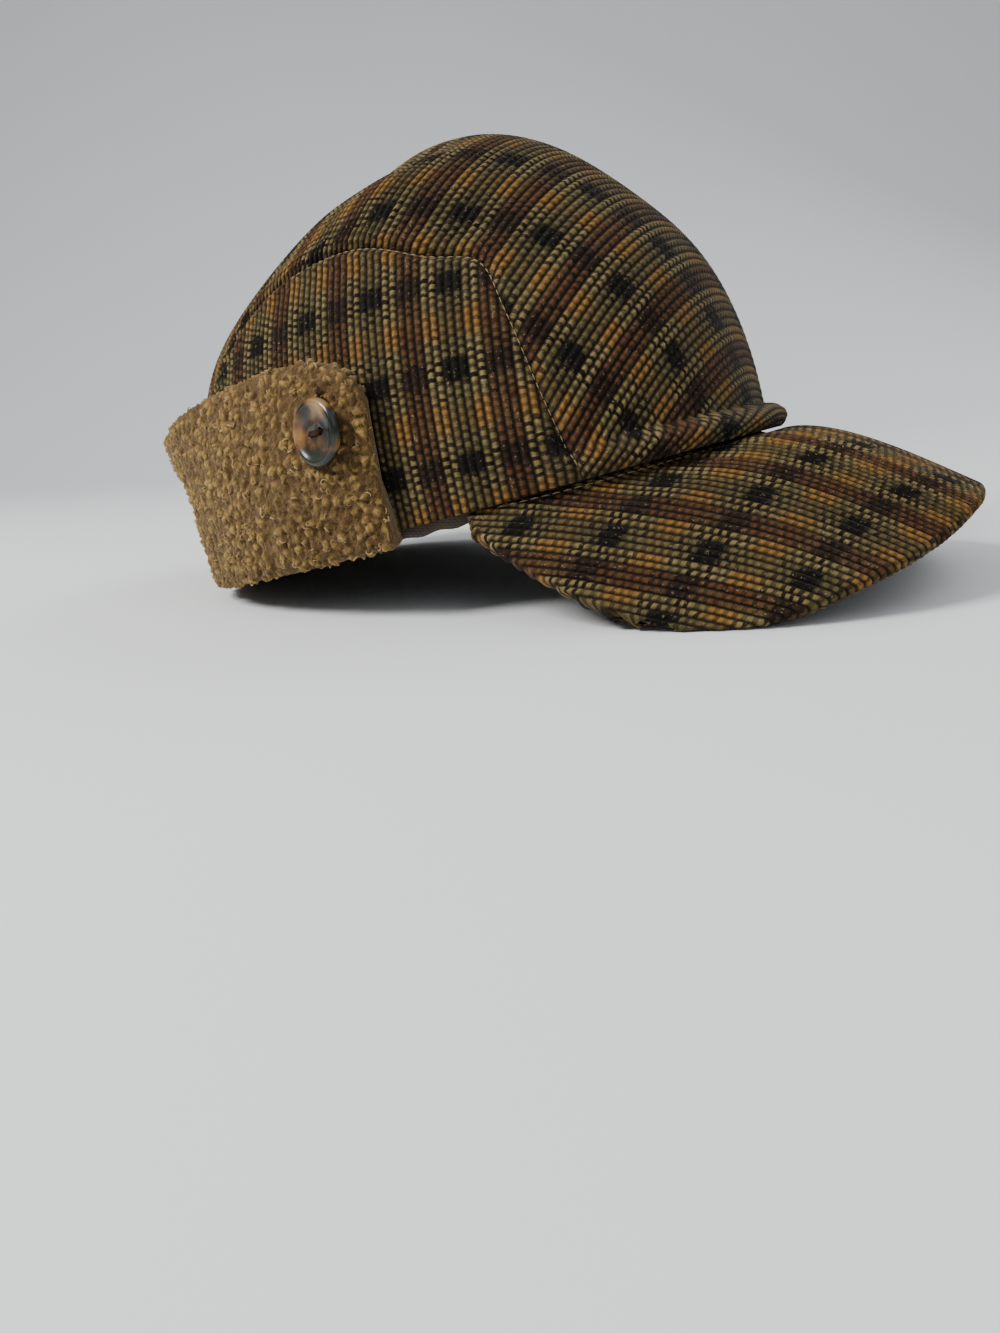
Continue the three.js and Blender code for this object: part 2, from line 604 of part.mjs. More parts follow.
function flapLayer(outlineAt, endInset) {
  const stations = flapStations();
  const inset = endInset / HALF_WIDTH;
  const sections = stations.map((round, i) => {
    const place = i === 0 ? round + inset : i === stations.length - 1 ? round - inset : round;
    return outlineAt(flapTop(round)).map(([off, height]) => flapPoint(place, off, height));
  });
  const flat = outlineAt(flapTop(stations[0])).map(([x, y]) => new THREE.Vector2(x, y));
  return facingOut(loftThrough(sections, flat, false));
}

// The buttons

// A frame on the flap's outer face, with Z out of the cloth, X along the hem and Y up the flap.
function buttonSeat(side) {
  const round = side < 0 ? Math.PI * 2 - rad(BUTTON_ANGLE) : rad(BUTTON_ANGLE);
  const off = FLAP_GAP * 2 + BACKING_THICKNESS + FLEECE_THICKNESS - BUTTON_SINK;
  const outward = ringOutward(round, BUTTON_HEIGHT);
  outward.applyAxisAngle(new THREE.Vector3(0, 0, 1), side * rad(BUTTON_TURN));
  const tilt = rad(BUTTON_TILT);
  const out = outward.clone().multiplyScalar(Math.cos(tilt)).add(new THREE.Vector3(0, 0, Math.sin(tilt)));
  const along = new THREE.Vector3(0, 0, 1).cross(out).normalize();
  const up = out.clone().cross(along);
  const place = flapPoint(round, off, BUTTON_HEIGHT);
  return new THREE.Matrix4().makeBasis(along, up, out).setPosition(place);
}

// A dished horn button with a raised rim, on its seat with its back at z 0.
function buttonSolid() {
  const R = BUTTON_RADIUS;
  const T = BUTTON_THICKNESS;
  const rimInside = R - BUTTON_RIM;
  const floor = T - BUTTON_DISH;
  const back = [[0, 0], [R * 0.55, 0], [R * 0.9, T * 0.28], [R, T * 0.6]];
  const rim = [[R - BUTTON_RIM * 0.3, T * 0.92], [R - BUTTON_RIM * 0.6, T], [rimInside, T * 0.9]];
  const dish = [[rimInside * 0.8, T - BUTTON_DISH * 0.8], [rimInside * 0.45, floor], [0, floor]];
  const body = turned([...back, ...rim, ...dish], 24);
  let solid = solidOf(body);
  for (const x of [-1, 1]) {
    const r = BUTTON_HOLE_RADIUS;
    const drill = turned([[0, -1], [r, -1], [r, T + 1], [0, T + 1]], 8);
    drill.translate((x * BUTTON_HOLE_SPACING) / 2, 0, 0);
    solid = solid.subtract(solidOf(drill));
  }
  return geometryOf(solid);
}

// Thread that crosses the button's face, goes down its two holes and through the buttonhole to the crown.
function threadSolid() {
  const half = BUTTON_HOLE_SPACING / 2;
  const r = THREAD_RADIUS;
  const top = BUTTON_THICKNESS - BUTTON_DISH + SEWN_GAP + r;
  const depth = FLAP_GAP * 2 + BACKING_THICKNESS + FLEECE_THICKNESS - BUTTON_SINK;
  const bottom = -depth + SEWN_GAP;
  const rod = (from, to, radius) => {
    const span = to.clone().sub(from);
    const length = span.length();
    const rounded = radius * 0.5;
    const foot = [[0, -rounded], [radius * 0.8, -rounded * 0.6], [radius, 0]];
    const head = foot.map(([x, z]) => [x, length - z]).reverse();
    const shape = turned([...foot, ...head], 6);
    const upright = new THREE.Vector3(0, 0, 1);
    shape.applyQuaternion(new THREE.Quaternion().setFromUnitVectors(upright, span.normalize()));
    shape.translate(from.x, from.y, from.z);
    return solidOf(shape);
  };
  const at = (x, z) => new THREE.Vector3(x, 0, z);
  const back = -SEWN_GAP - r;
  return geometryOf(rod(at(-half, top), at(half, top), r)
    .add(rod(at(-half, back), at(-half, top), r))
    .add(rod(at(half, back), at(half, top), r))
    .add(rod(at(-half, back), at(half, back), r))
    .add(rod(at(0, bottom + r), at(0, back), Math.min(r * 1.4, BUTTONHOLE_WIDTH / 2 - SEWN_GAP))));
}

// Cuts the two upright buttonholes through a layer of the flap, and the beds that the buttons press into it.
function withButtonholes(geometry) {
  let solid = solidOf(geometry);
  for (const side of [-1, 1]) {
    const depth = FLAP_GAP * 2 + BACKING_THICKNESS + FLEECE_THICKNESS;
    const well = BUTTON_HOLE_SPACING / 2 + THREAD_RADIUS + BUTTON_ROOM;
    const around = BUTTON_RADIUS + BUTTON_ROOM;
    const bed = turned([[0, -THREAD_WELL], [well, -THREAD_WELL], [well, 0], [around, 0], [around, depth],
      [0, depth]], 24);
    bed.applyMatrix4(buttonSeat(side));
    solid = solid.subtract(solidOf(bed));
    const slot = new THREE.Shape();
    const [w, l] = [BUTTONHOLE_WIDTH / 2, BUTTONHOLE_LENGTH / 2 - BUTTONHOLE_WIDTH / 2];
    slot.absarc(0, l, w, 0, Math.PI, false);
    slot.absarc(0, -l, w, Math.PI, Math.PI * 2, false);
    const outline = slot.getPoints(5);
    const sections = [-depth, depth].map((z) => outline.slice(0, -1)
      .map((p) => new THREE.Vector3(p.x, p.y, z)));
    const cutter = facingOut(loftThrough(sections, outline.slice(0, -1), false));
    cutter.applyMatrix4(buttonSeat(side));
    solid = solid.subtract(solidOf(cutter));
  }
  return geometryOf(solid);
}

// How the hat rests

function lowestAlong(geometries, tilt) {
  let lowest = Infinity;
  for (const geometry of geometries) {
    const p = geometry.getAttribute('position');
    for (let i = 0; i < p.count; i += 1) {
      lowest = Math.min(lowest, p.getX(i) * Math.sin(tilt) + p.getZ(i) * Math.cos(tilt));
    }
  }
  return lowest;
}

// The tilt at which the peak and the flap's back fold come down to the same table.
function restingTilt(front, back) {
  let [low, high] = [0, Math.PI / 4];
  for (let i = 0; i < 50; i += 1) {
    const middle = (low + high) / 2;
    if (lowestAlong(front, middle) + PEAK_PRESS < lowestAlong(back, middle) + FLAP_PRESS) low = middle;
    else high = middle;
  }
  return (low + high) / 2;
}

// Soft edges that would dip below the table lie flat on it.
function pressFlat(geometry, tilt, table) {
  const p = geometry.getAttribute('position');
  for (let i = 0; i < p.count; i += 1) {
    const below = table - (p.getX(i) * Math.sin(tilt) + p.getZ(i) * Math.cos(tilt));
    if (below > 0) {
      p.setX(i, p.getX(i) + below * Math.sin(tilt));
      p.setZ(i, p.getZ(i) + below * Math.cos(tilt));
    }
  }
  geometry.computeVertexNormals();
  return geometry;
}

const peakTop = peakLayer(0, PEAK_THICKNESS - PEAK_UNDER_CLOTH - SEWN_GAP);
const peakUnderside = peakLayer(PEAK_THICKNESS - PEAK_UNDER_CLOTH, PEAK_THICKNESS);
const fleece = flapLayer(fleeceOutline, 0);
const tilt = restingTilt([peakTop, peakUnderside], [fleece]);
const table = lowestAlong([fleece], tilt) + FLAP_PRESS;

// Materials and assembly

const cloth = (color) => new THREE.MeshStandardMaterial({ color, roughness: 0.95, metalness: 0 });
const corduroy = cloth(0x4a3a24);
const lining = cloth(0x3a2c1e);
const fleecePile = cloth(0x8f6d3c);
const horn = new THREE.MeshStandardMaterial({ color: 0x5a4028, roughness: 0.25, metalness: 0 });
const sewingThread = cloth(0x2a1d12);

function named(name, geometry, material) {
  const mesh = new THREE.Mesh(geometry, material);
  mesh.name = name;
  return mesh;
}

const hat = new THREE.Group();
hat.add(named('crown_centre_panel', centrePanel(), corduroy));
hat.add(named('crown_side_panel_right', sidePanel(-1), corduroy));
hat.add(named('crown_side_panel_left', sidePanel(1), corduroy));
hat.add(named('hem_facing', hemFacing(), lining));
hat.add(named('peak_top', pressFlat(peakTop, tilt, table), corduroy));
hat.add(named('peak_underside', pressFlat(peakUnderside, tilt, table), corduroy));
hat.add(named('flap_fleece', pressFlat(withButtonholes(fleece), tilt, table), fleecePile));
hat.add(named('flap_backing', withButtonholes(flapLayer(backingOutline, 2)), corduroy));

for (const [word, side] of [['right', -1], ['left', 1]]) {
  const seat = new THREE.Group();
  seat.applyMatrix4(buttonSeat(side));
  const button = named(`button_${word}`, buttonSolid(), horn);
  button.position.z = SEWN_GAP;
  const thread = named(`button_thread_${word}`, threadSolid(), sewingThread);
  thread.position.z = SEWN_GAP;
  seat.add(button, thread);
  hat.add(seat);
}

// Tip the hat to rest on the table and put the origin below its middle.
hat.rotation.y = -tilt;
hat.updateMatrixWorld(true);
const box = new THREE.Box3().setFromObject(hat, true);
hat.position.set(-(box.min.x + box.max.x) / 2, -(box.min.y + box.max.y) / 2, -box.min.z);

const part = new THREE.Group();
part.add(hat);
part.updateMatrixWorld(true);

export default part;
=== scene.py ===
import math

import bpy
import mathutils
import numpy as np
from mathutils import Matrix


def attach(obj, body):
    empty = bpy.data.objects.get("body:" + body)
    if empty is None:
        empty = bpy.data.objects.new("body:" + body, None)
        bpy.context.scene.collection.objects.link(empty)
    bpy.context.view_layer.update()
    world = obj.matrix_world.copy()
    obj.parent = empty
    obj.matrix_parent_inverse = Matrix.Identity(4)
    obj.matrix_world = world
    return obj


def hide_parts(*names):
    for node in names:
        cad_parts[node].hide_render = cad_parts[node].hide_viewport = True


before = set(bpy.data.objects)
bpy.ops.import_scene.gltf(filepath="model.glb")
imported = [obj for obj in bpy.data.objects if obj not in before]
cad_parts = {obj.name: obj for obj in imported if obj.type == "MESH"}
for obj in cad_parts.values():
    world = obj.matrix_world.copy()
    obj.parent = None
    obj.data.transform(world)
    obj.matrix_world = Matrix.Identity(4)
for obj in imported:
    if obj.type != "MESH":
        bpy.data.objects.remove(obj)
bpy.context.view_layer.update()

# Crown, centre panel.
# A strip of checked corduroy from the front hem over the top to the back hem. Its cords run from ear to
# ear, and its long edges are sewn to the two side panels. Plain dark cotton lines it.
HAT_TILT = math.radians(11.6354)  # how far the resting peak and fold tip the hem
HEM_CENTRE = np.array([-27.285, 0.0, 22.479])  # where the hem's centre is over the floor, in millimetres
FRONT_LENGTH, BACK_LENGTH, HALF_WIDTH, CROWN_HEIGHT = 103.0, 93.0, 84.0, 119.0
FULLNESS, APEX_LEAN = 2.1, 8.0
CORD_PITCH = 2.25  # millimetres from one cord to the next
CORD_RELIEF = 0.36  # how far a cord stands out of the cloth
CORD_STEPS = 4  # columns of the mesh for each cord
PANEL_THICKNESS, HEM_LIFT = 1.9, 1.5
CHECK_CORDS = 10  # cords from one dark square to the next
CHECK_REPEAT = 25.5  # millimetres from one dark square to the next along a cord

# round, lift and spread in degrees, out as a share of the height
CROWN_DENTS = (
    (-52, 46, 9, -0.022), (-62, 57, 10, 0.022), (-50, 70, 7, -0.016), (-150, 74, 19, -0.088),
    (20, 84, 10, 0.025), (140, 60, 20, -0.035), (-156, 37, 17, 0.042), (156, 34, 17, 0.035),
    (22, 68, 13, -0.014), (-158, 2, 16, -0.032), (158, 2, 16, -0.032), (58, 48, 10, -0.018),
    (6, 52, 14, -0.012), (-66, 75, 8.5, -0.036), (5, 47, 12, -0.015),
)
# forward, side and up shares along a crown seam from the front hem to the back hem
CROWN_SEAM = (
    (0.645, 0.765, 0.0), (0.595, 0.785, 0.24), (0.545, 0.755, 0.42), (0.485, 0.71, 0.56),
    (0.33, 0.74, 0.60), (0.09, 0.73, 0.665), (-0.17, 0.71, 0.67), (-0.42, 0.68, 0.585),
    (-0.58, 0.68, 0.42), (-0.66, 0.69, 0.21), (-0.70, 0.70, 0.0),
)


def smooth_step(x, low, high):
    t = np.clip((x - low) / (high - low), 0, 1)
    return t * t * (3 - 2 * t)


def unit(v):
    return v / np.maximum(np.linalg.norm(v, axis=-1, keepdims=True), 1e-9)


def dome_reach(d, dented):
    leaned = d[..., 0] - APEX_LEAN * d[..., 2] / CROWN_HEIGHT
    length = np.where(leaned > 0, FRONT_LENGTH, BACK_LENGTH)
    total = (np.abs(leaned / length) ** FULLNESS + np.abs(d[..., 1] / HALF_WIDTH) ** FULLNESS
             + np.abs(d[..., 2] / CROWN_HEIGHT) ** FULLNESS)
    reach = total ** (-1 / FULLNESS)
    if dented:
        for turn, lift, spread, out in CROWN_DENTS:
            a, b = math.radians(turn), math.radians(lift)
            aim = np.array([math.cos(b) * math.cos(a), math.cos(b) * math.sin(a), math.sin(b)])
            away = np.degrees(np.arccos(np.clip(d @ aim, -1, 1))) / spread
            reach = reach + out * CROWN_HEIGHT * np.exp(-away * away)
    return reach


def on_dome(p, dented=True):
    d = unit(p)
    return d * dome_reach(d, dented)[..., None]


def front_share(p):
    cosine = p[..., 0] / np.maximum(np.hypot(p[..., 0], p[..., 1]), 1e-9)
    return smooth_step(cosine, math.cos(math.radians(70)), 1)


def rolled_hem(p):
    """Lifts the hem a little over the peak and rolls it outwards there."""
    share = front_share(p)
    roll = np.sqrt(np.clip(1 - ((p[..., 2] - 4.2) / 5.6) ** 2, 0, 1))
    level = unit(p * np.array([1, 1, 0]))
    rolled = p + level * (6.6 * share ** 2 * roll)[..., None]
    rolled[..., 2] += HEM_LIFT * share * (1 - smooth_step(p[..., 2], 0, 8))
    return rolled


def distances(path):
    """How far along a row of points each of them is."""
    return np.concatenate([[0], np.cumsum(np.linalg.norm(np.diff(path, axis=0), axis=1))])


def read_at(at, run, rows):
    """Reads each column of rows, which lie at the distances in run, at other distances."""
    return np.stack([np.interp(at, run, rows[:, k]) for k in range(rows.shape[1])], -1)


def curve_through(points, steps):
    """Points along a smooth curve, more closely spaced, by centripetal Catmull-Rom."""
    p = np.asarray(points, float)
    ends = np.vstack([2 * p[0] - p[1], p, 2 * p[-1] - p[-2]])
    out = []
    for i in range(len(p) - 1):
        a, b, c, d = ends[i:i + 4]
        t1 = max(np.linalg.norm(b - a), 1e-9) ** 0.5
        t2 = t1 + max(np.linalg.norm(c - b), 1e-9) ** 0.5
        t3 = t2 + max(np.linalg.norm(d - c), 1e-9) ** 0.5
        for t in np.linspace(t1, t2, steps, endpoint=False):
            ab = a + (b - a) * t / t1
            bc = b + (c - b) * (t - t1) / (t2 - t1)
            cd = c + (d - c) * (t - t2) / (t3 - t2)
            abc = ab + (bc - ab) * t / t2
            bcd = bc + (cd - bc) * (t - t1) / (t3 - t1)
            out.append(abc + (bcd - abc) * (t - t1) / (t2 - t1))
    out.append(p[-1])
    return np.array(out)


def crown_seam(side):
    rows = [(f * (FRONT_LENGTH if f > 0 else BACK_LENGTH), side * s * HALF_WIDTH, u * CROWN_HEIGHT)
            for f, s, u in CROWN_SEAM]
    line = on_dome(curve_through(rows, 40), dented=False)
    line[0, 2] = line[-1, 2] = 0
    return line


def evenly(path, count):
    """Puts count points at even distances along each column of path, which is points by columns by 3."""
    lengths = np.linalg.norm(np.diff(path, axis=0), axis=2)
    run = np.vstack([np.zeros(path.shape[1]), np.cumsum(lengths, axis=0)])
    out = np.empty((count, path.shape[1], 3))
    for c in range(path.shape[1]):
        at = np.linspace(0, run[-1, c], count)
        for k in range(3):
            out[:, c, k] = np.interp(at, run[:, c], path[:, c, k])
    return out, run[-1]


def grid_normals(p):
    along, across = np.gradient(p, axis=0), np.gradient(p, axis=1)
    n = unit(np.cross(across, along))
    middle = n[n.shape[0] // 2, n.shape[1] // 2] @ unit(p[p.shape[0] // 2, p.shape[1] // 2])
    return n if middle > 0 else -n


def to_world(p):
    c, s = math.cos(HAT_TILT), math.sin(HAT_TILT)
    turned = np.stack([p[..., 0] * c - p[..., 2] * s, p[..., 1], p[..., 0] * s + p[..., 2] * c], -1)
    return (turned + HEM_CENTRE) / 1000


def cloth_grid(name, p, uv, lowest=0.0004):
    """A grid primitive laid on the rows and columns of p, with the cloth's own coordinates as UV map."""
    rows, columns = p.shape[:2]
    bpy.ops.object.select_all(action="DESELECT")
    bpy.ops.mesh.primitive_grid_add(x_subdivisions=columns - 1, y_subdivisions=rows - 1, size=2)
    piece = bpy.context.active_object
    piece.name = piece.data.name = name
    mesh = piece.data
    flat = np.empty(len(mesh.vertices) * 3)
    mesh.vertices.foreach_get("co", flat)
    flat = flat.reshape(-1, 3)
    c = np.rint((flat[:, 0] + 1) / 2 * (columns - 1)).astype(int)
    r = np.rint((flat[:, 1] + 1) / 2 * (rows - 1)).astype(int)
    places = to_world(p)[r, c]
    # cloth that would reach below the floor flattens softly on it
    places[:, 2] = lowest + 0.0006 * np.logaddexp(0, (places[:, 2] - lowest) / 0.0006)
    mesh.vertices.foreach_set("co", places.round(8).ravel())
    corner = np.empty(len(mesh.loops), dtype=int)
    mesh.loops.foreach_get("vertex_index", corner)
    mesh.uv_layers[0].name = "cloth"
    mesh.uv_layers[0].data.foreach_set("uv", (uv[r, c][corner] / 1000).ravel())
    mesh.update()
    return piece


def face_outwards(piece, middle):
    """Turns the whole sheet over where its faces point towards middle."""
    mesh = piece.data
    tally = sum((f.center - middle).dot(f.normal) * f.area for f in mesh.polygons)
    if tally < 0:
        mesh.flip_normals()


def thicken(piece, thickness, lining_slot=0):
    """Gives a sheet its thickness on its inner side and applies it."""
    bpy.context.view_layer.objects.active = piece
    wall = piece.modifiers.new("wall", "SOLIDIFY")
    wall.thickness = thickness / 1000
    wall.offset = -1
    wall.material_offset = lining_slot
    bpy.ops.object.modifier_apply(modifier=wall.name)
    for f in piece.data.polygons:
        f.use_smooth = True


def cord_relief(wale):
    """Height of the cords over the cloth, from -1 between two cords to 1 on top of one."""
    return np.cos(2 * math.pi * wale)


class Shade:
    """One output of a finish's nodes. Arithmetic on it adds Math nodes."""

    def __init__(self, finish, out):
        self.finish, self.out = finish, out

    def sum(self, operation, *values):
        return self.finish.node("ShaderNodeMath", {"operation": operation}, dict(enumerate(values)))

    def __add__(self, other):
        return self.sum("ADD", self, other)

    def __sub__(self, other):
        return self.sum("SUBTRACT", self, other)

    def __rsub__(self, other):
        return self.sum("SUBTRACT", other, self)

    def __mul__(self, other):
        return self.sum("MULTIPLY", self, other)

    def __truediv__(self, other):
        return self.sum("DIVIDE", self, other)

    __radd__, __rmul__ = __add__, __mul__

    def part(self):
        return self.sum("FRACT", self)

    def whole(self):
        return self.sum("FLOOR", self)

    def size(self):
        return self.sum("ABSOLUTE", self)

    def most(self, other):
        return self.sum("MAXIMUM", self, other)

    def rise(self, low, high):
        return self.finish.node("ShaderNodeMapRange", {"interpolation_type": "SMOOTHSTEP"},
                                {"Value": self, "From Min": low, "From Max": high})

    def band(self, middle, half, soft):
        """1 within half of middle, where the pattern repeats every 1."""
        away = ((self - (middle - 0.5)).part() - 0.5).size()
        return 1 - away.rise(half - soft, half + soft)


class Finish:
    """A procedural material for one of the hat's stuffs."""

    def __init__(self, name, roughness, **steady):
        self.material = bpy.data.materials.new(name)
        self.material.use_nodes = True
        self.tree = self.material.node_tree
        self.shader = self.tree.nodes["Principled BSDF"]
        self.shader.inputs["Roughness"].default_value = roughness
        for socket, value in steady.items():
            self.shader.inputs[socket.replace("_", " ")].default_value = value

    def node(self, kind, settings, values, out=0):
        made = self.tree.nodes.new(kind)
        for name, value in settings.items():
            if name == "stops":
                ramp = made.color_ramp
                while len(ramp.elements) < len(value):
                    ramp.elements.new(0.5)
                for element, (place, colour) in zip(ramp.elements, value):
                    element.position, element.color = place, (*colour, 1)
            else:
                setattr(made, name, value)
        for socket, value in values.items():
            if isinstance(value, Shade):
                self.tree.links.new(value.out, made.inputs[socket])
            elif isinstance(value, tuple) and len(made.inputs[socket].default_value) == 4:
                made.inputs[socket].default_value = (*value, 1)
            else:
                made.inputs[socket].default_value = value
        return Shade(self, made.outputs[out])

    def mix(self, share, first, second, blend="MIX"):
        return self.node("ShaderNodeMix", {"data_type": "RGBA", "blend_type": blend},
                         {0: share, 6: first, 7: second}, 2)

    def places(self):
        return self.node("ShaderNodeTexCoord", {}, {}, "Object")

    def noise(self, place, scale, detail=3.0, roughness=0.55):
        return self.node("ShaderNodeTexNoise", {},
                         {"Vector": place, "Scale": scale, "Detail": detail, "Roughness": roughness})

    def wear(self, colour, roughness=None, bump=None, depth=0.001, strength=1.0):
        self.tree.links.new(colour.out, self.shader.inputs["Base Color"])
        if roughness is not None:
            self.tree.links.new(roughness.out, self.shader.inputs["Roughness"])
        if bump is not None:
            made = self.node("ShaderNodeBump", {}, {"Height": bump, "Distance": depth, "Strength": strength},
                             "Normal")
            self.tree.links.new(made.out, self.shader.inputs["Normal"])
        return self.material


def checked_corduroy():
    """Velvety cords woven in an olive, orange and maroon check with near-black squares, with painted shade
    between the cords and painted glints on their tops.
    """
    cloth = Finish("checked_corduroy", 0.82, Sheen_Weight=0.05, Sheen_Roughness=0.4,
                   Sheen_Tint=(0.85, 0.74, 0.55, 1), Specular_IOR_Level=0.12)
    uv = cloth.node("ShaderNodeUVMap", {"uv_map": "cloth"}, {})
    place = cloth.places()
    lay = cloth.node("ShaderNodeSeparateXYZ", {}, {"Vector": uv}, 0)
    across, along = lay, Shade(cloth, lay.out.node.outputs[1])
    wobble = cloth.noise(place, 160.0, 2.0) - 0.5
    wale = across * (1000 / CORD_PITCH)
    number = (wale + 0.5).whole()
    in_wale = ((wale + 0.5).part() - 0.5).size() * 2
    # each cord has one colour, and its tufts are cut about as long as it is wide
    lane = number / CHECK_CORDS
    tuft = (along * 1000 + wobble * 2.6) / 2.4 + number * 0.5
    row = (along * 1000 + wobble * 3.0) / CHECK_REPEAT
    tooth = 1 - ((tuft.part() - 0.5).size() * 2).rise(0.36, 0.6)
    glint_and_pile_noise = cloth.noise(place, 1100.0, 2.0)
    patch = cloth.noise(place, 45.0, 3.0)
    # every tuft of the pile is dyed a little differently, and the painted shade in the pits between the tufts
    # is a little deeper or lighter from one to the next
    tuft_cell = cloth.node("ShaderNodeCombineXYZ", {}, {0: number, 1: tuft.whole(), 2: 0.0})
    single = cloth.node("ShaderNodeTexWhiteNoise", {"noise_dimensions": "3D"}, {"Vector": tuft_cell}, "Value")
    olive = cloth.mix(patch.rise(0.3, 0.7) * 0.5 + single * 0.5, (0.066, 0.053, 0.019), (0.215, 0.172, 0.074))
    black_lane, maroon_lane = lane.band(0.0, 0.16, 0.03), lane.band(0.5, 0.17, 0.03)
    orange_lane = lane.band(0.25, 0.07, 0.02).most(lane.band(0.76, 0.07, 0.02))
    dark_row, warm_row = row.band(0.0, 0.13, 0.04), row.band(0.5, 0.15, 0.09)
    colour = cloth.mix(orange_lane * (0.03 + 0.6 * warm_row + 0.16 * single), olive, (0.225, 0.098, 0.018))
    colour = cloth.mix(warm_row * (0.12 + 0.4 * single), colour, (0.215, 0.110, 0.024))
    colour = cloth.mix(maroon_lane * (0.62 + 0.3 * single), colour, (0.058, 0.0150, 0.0065))
    colour = cloth.mix(black_lane * (0.3 + 0.3 * single), colour, (0.034, 0.022, 0.009))
    # painted shade: the pits between the tufts are darkened, deeper on the check's dark rows and lighter on
    # its warm rows
    tuft_pit_shade = tooth * (0.74 + 0.2 * dark_row + 0.5 * (single - 0.5)) * (1 - 0.3 * warm_row)
    colour = cloth.mix(tuft_pit_shade, colour, (0.011, 0.006, 0.004))
    colour = cloth.mix(dark_row * maroon_lane * 0.8, colour, (0.010, 0.0045, 0.0035))
    colour = cloth.mix(dark_row * lane.band(0.0, 0.13, 0.02) * 0.97, colour, (0.0028, 0.0020, 0.0020))
    # painted shade: the valleys between the cords are darkened to near-black
    valley_shade = in_wale.rise(0.34, 0.9)
    colour = cloth.mix(valley_shade * 0.86, colour, (0.005, 0.0032, 0.002))
    # painted highlight: pale glints on the tops of the cords, kept out of the valleys
    glint = glint_and_pile_noise.rise(0.60, 0.74) * (1 - valley_shade) * (0.12 + 0.4 * patch)
    colour = cloth.mix(glint, colour, (0.42, 0.34, 0.19))
    pile = glint_and_pile_noise * 0.5 + (1 - in_wale * in_wale) * 0.5 + (1 - tooth) * 0.16
    return cloth.wear(colour, 0.72 + 0.2 * patch, pile, 0.0009, 0.9)


def plain_lining():
    """Dark plain-woven cotton, with its threads going over and under."""
    cotton = Finish("dark_cotton", 0.88, Sheen_Weight=0.15)
    place = cotton.places()
    threads = cotton.node("ShaderNodeTexWave", {"bands_direction": "Z"},
                          {"Vector": place, "Scale": 420.0, "Distortion": 1.5, "Detail": 1.0})
    crossing = cotton.node("ShaderNodeTexWave", {"bands_direction": "DIAGONAL"},
                           {"Vector": place, "Scale": 360.0, "Distortion": 1.5, "Detail": 1.0})
    worn = cotton.noise(place, 60.0)
    colour = cotton.mix(threads * 0.6 + crossing * 0.2, (0.030, 0.020, 0.013), (0.062, 0.043, 0.028))
    colour = cotton.mix(worn.rise(0.5, 0.75) * 0.4, colour, (0.085, 0.062, 0.043))
    return cotton.wear(colour, None, threads + crossing, 0.0002, 0.5)


corduroy, lining = checked_corduroy(), plain_lining()


def seam_distance(p, seams):
    """Distance from each point to the nearest seam."""
    tree = mathutils.kdtree.KDTree(sum(len(s) for s in seams))
    for i, q in enumerate(np.vstack(seams)):
        tree.insert(q, i)
    tree.balance()
    return np.array([tree.find(q)[2] for q in p.reshape(-1, 3)]).reshape(p.shape[:2])


CENTRE_ROWS = 64
SEAM_DEPTH, SEAM_WIDTH = 1.5, 1.6  # the dip along a seam
CENTRE_CHECK = (-0.5, -0.63, 0.26)  # where the check lies on the panel, and its slant


def dome_level(x, y, z):
    """Below 1 inside the undented dome and above 1 outside it."""
    leaned = x - APEX_LEAN * z / CROWN_HEIGHT
    length = np.where(leaned > 0, FRONT_LENGTH, BACK_LENGTH)
    return (np.abs(leaned / length) ** FULLNESS + np.abs(y / HALF_WIDTH) ** FULLNESS
            + np.abs(z / CROWN_HEIGHT) ** FULLNESS)


right_seam, left_seam = crown_seam(-1), crown_seam(1)


def hem_arc(start, end):
    x = np.linspace(start, end, 60)
    length = FRONT_LENGTH if start + end > 0 else BACK_LENGTH
    y = HALF_WIDTH * np.maximum(1 - np.abs(x / length) ** FULLNESS, 0) ** (1 / FULLNESS)
    return np.stack([x, y, 0 * x], -1)


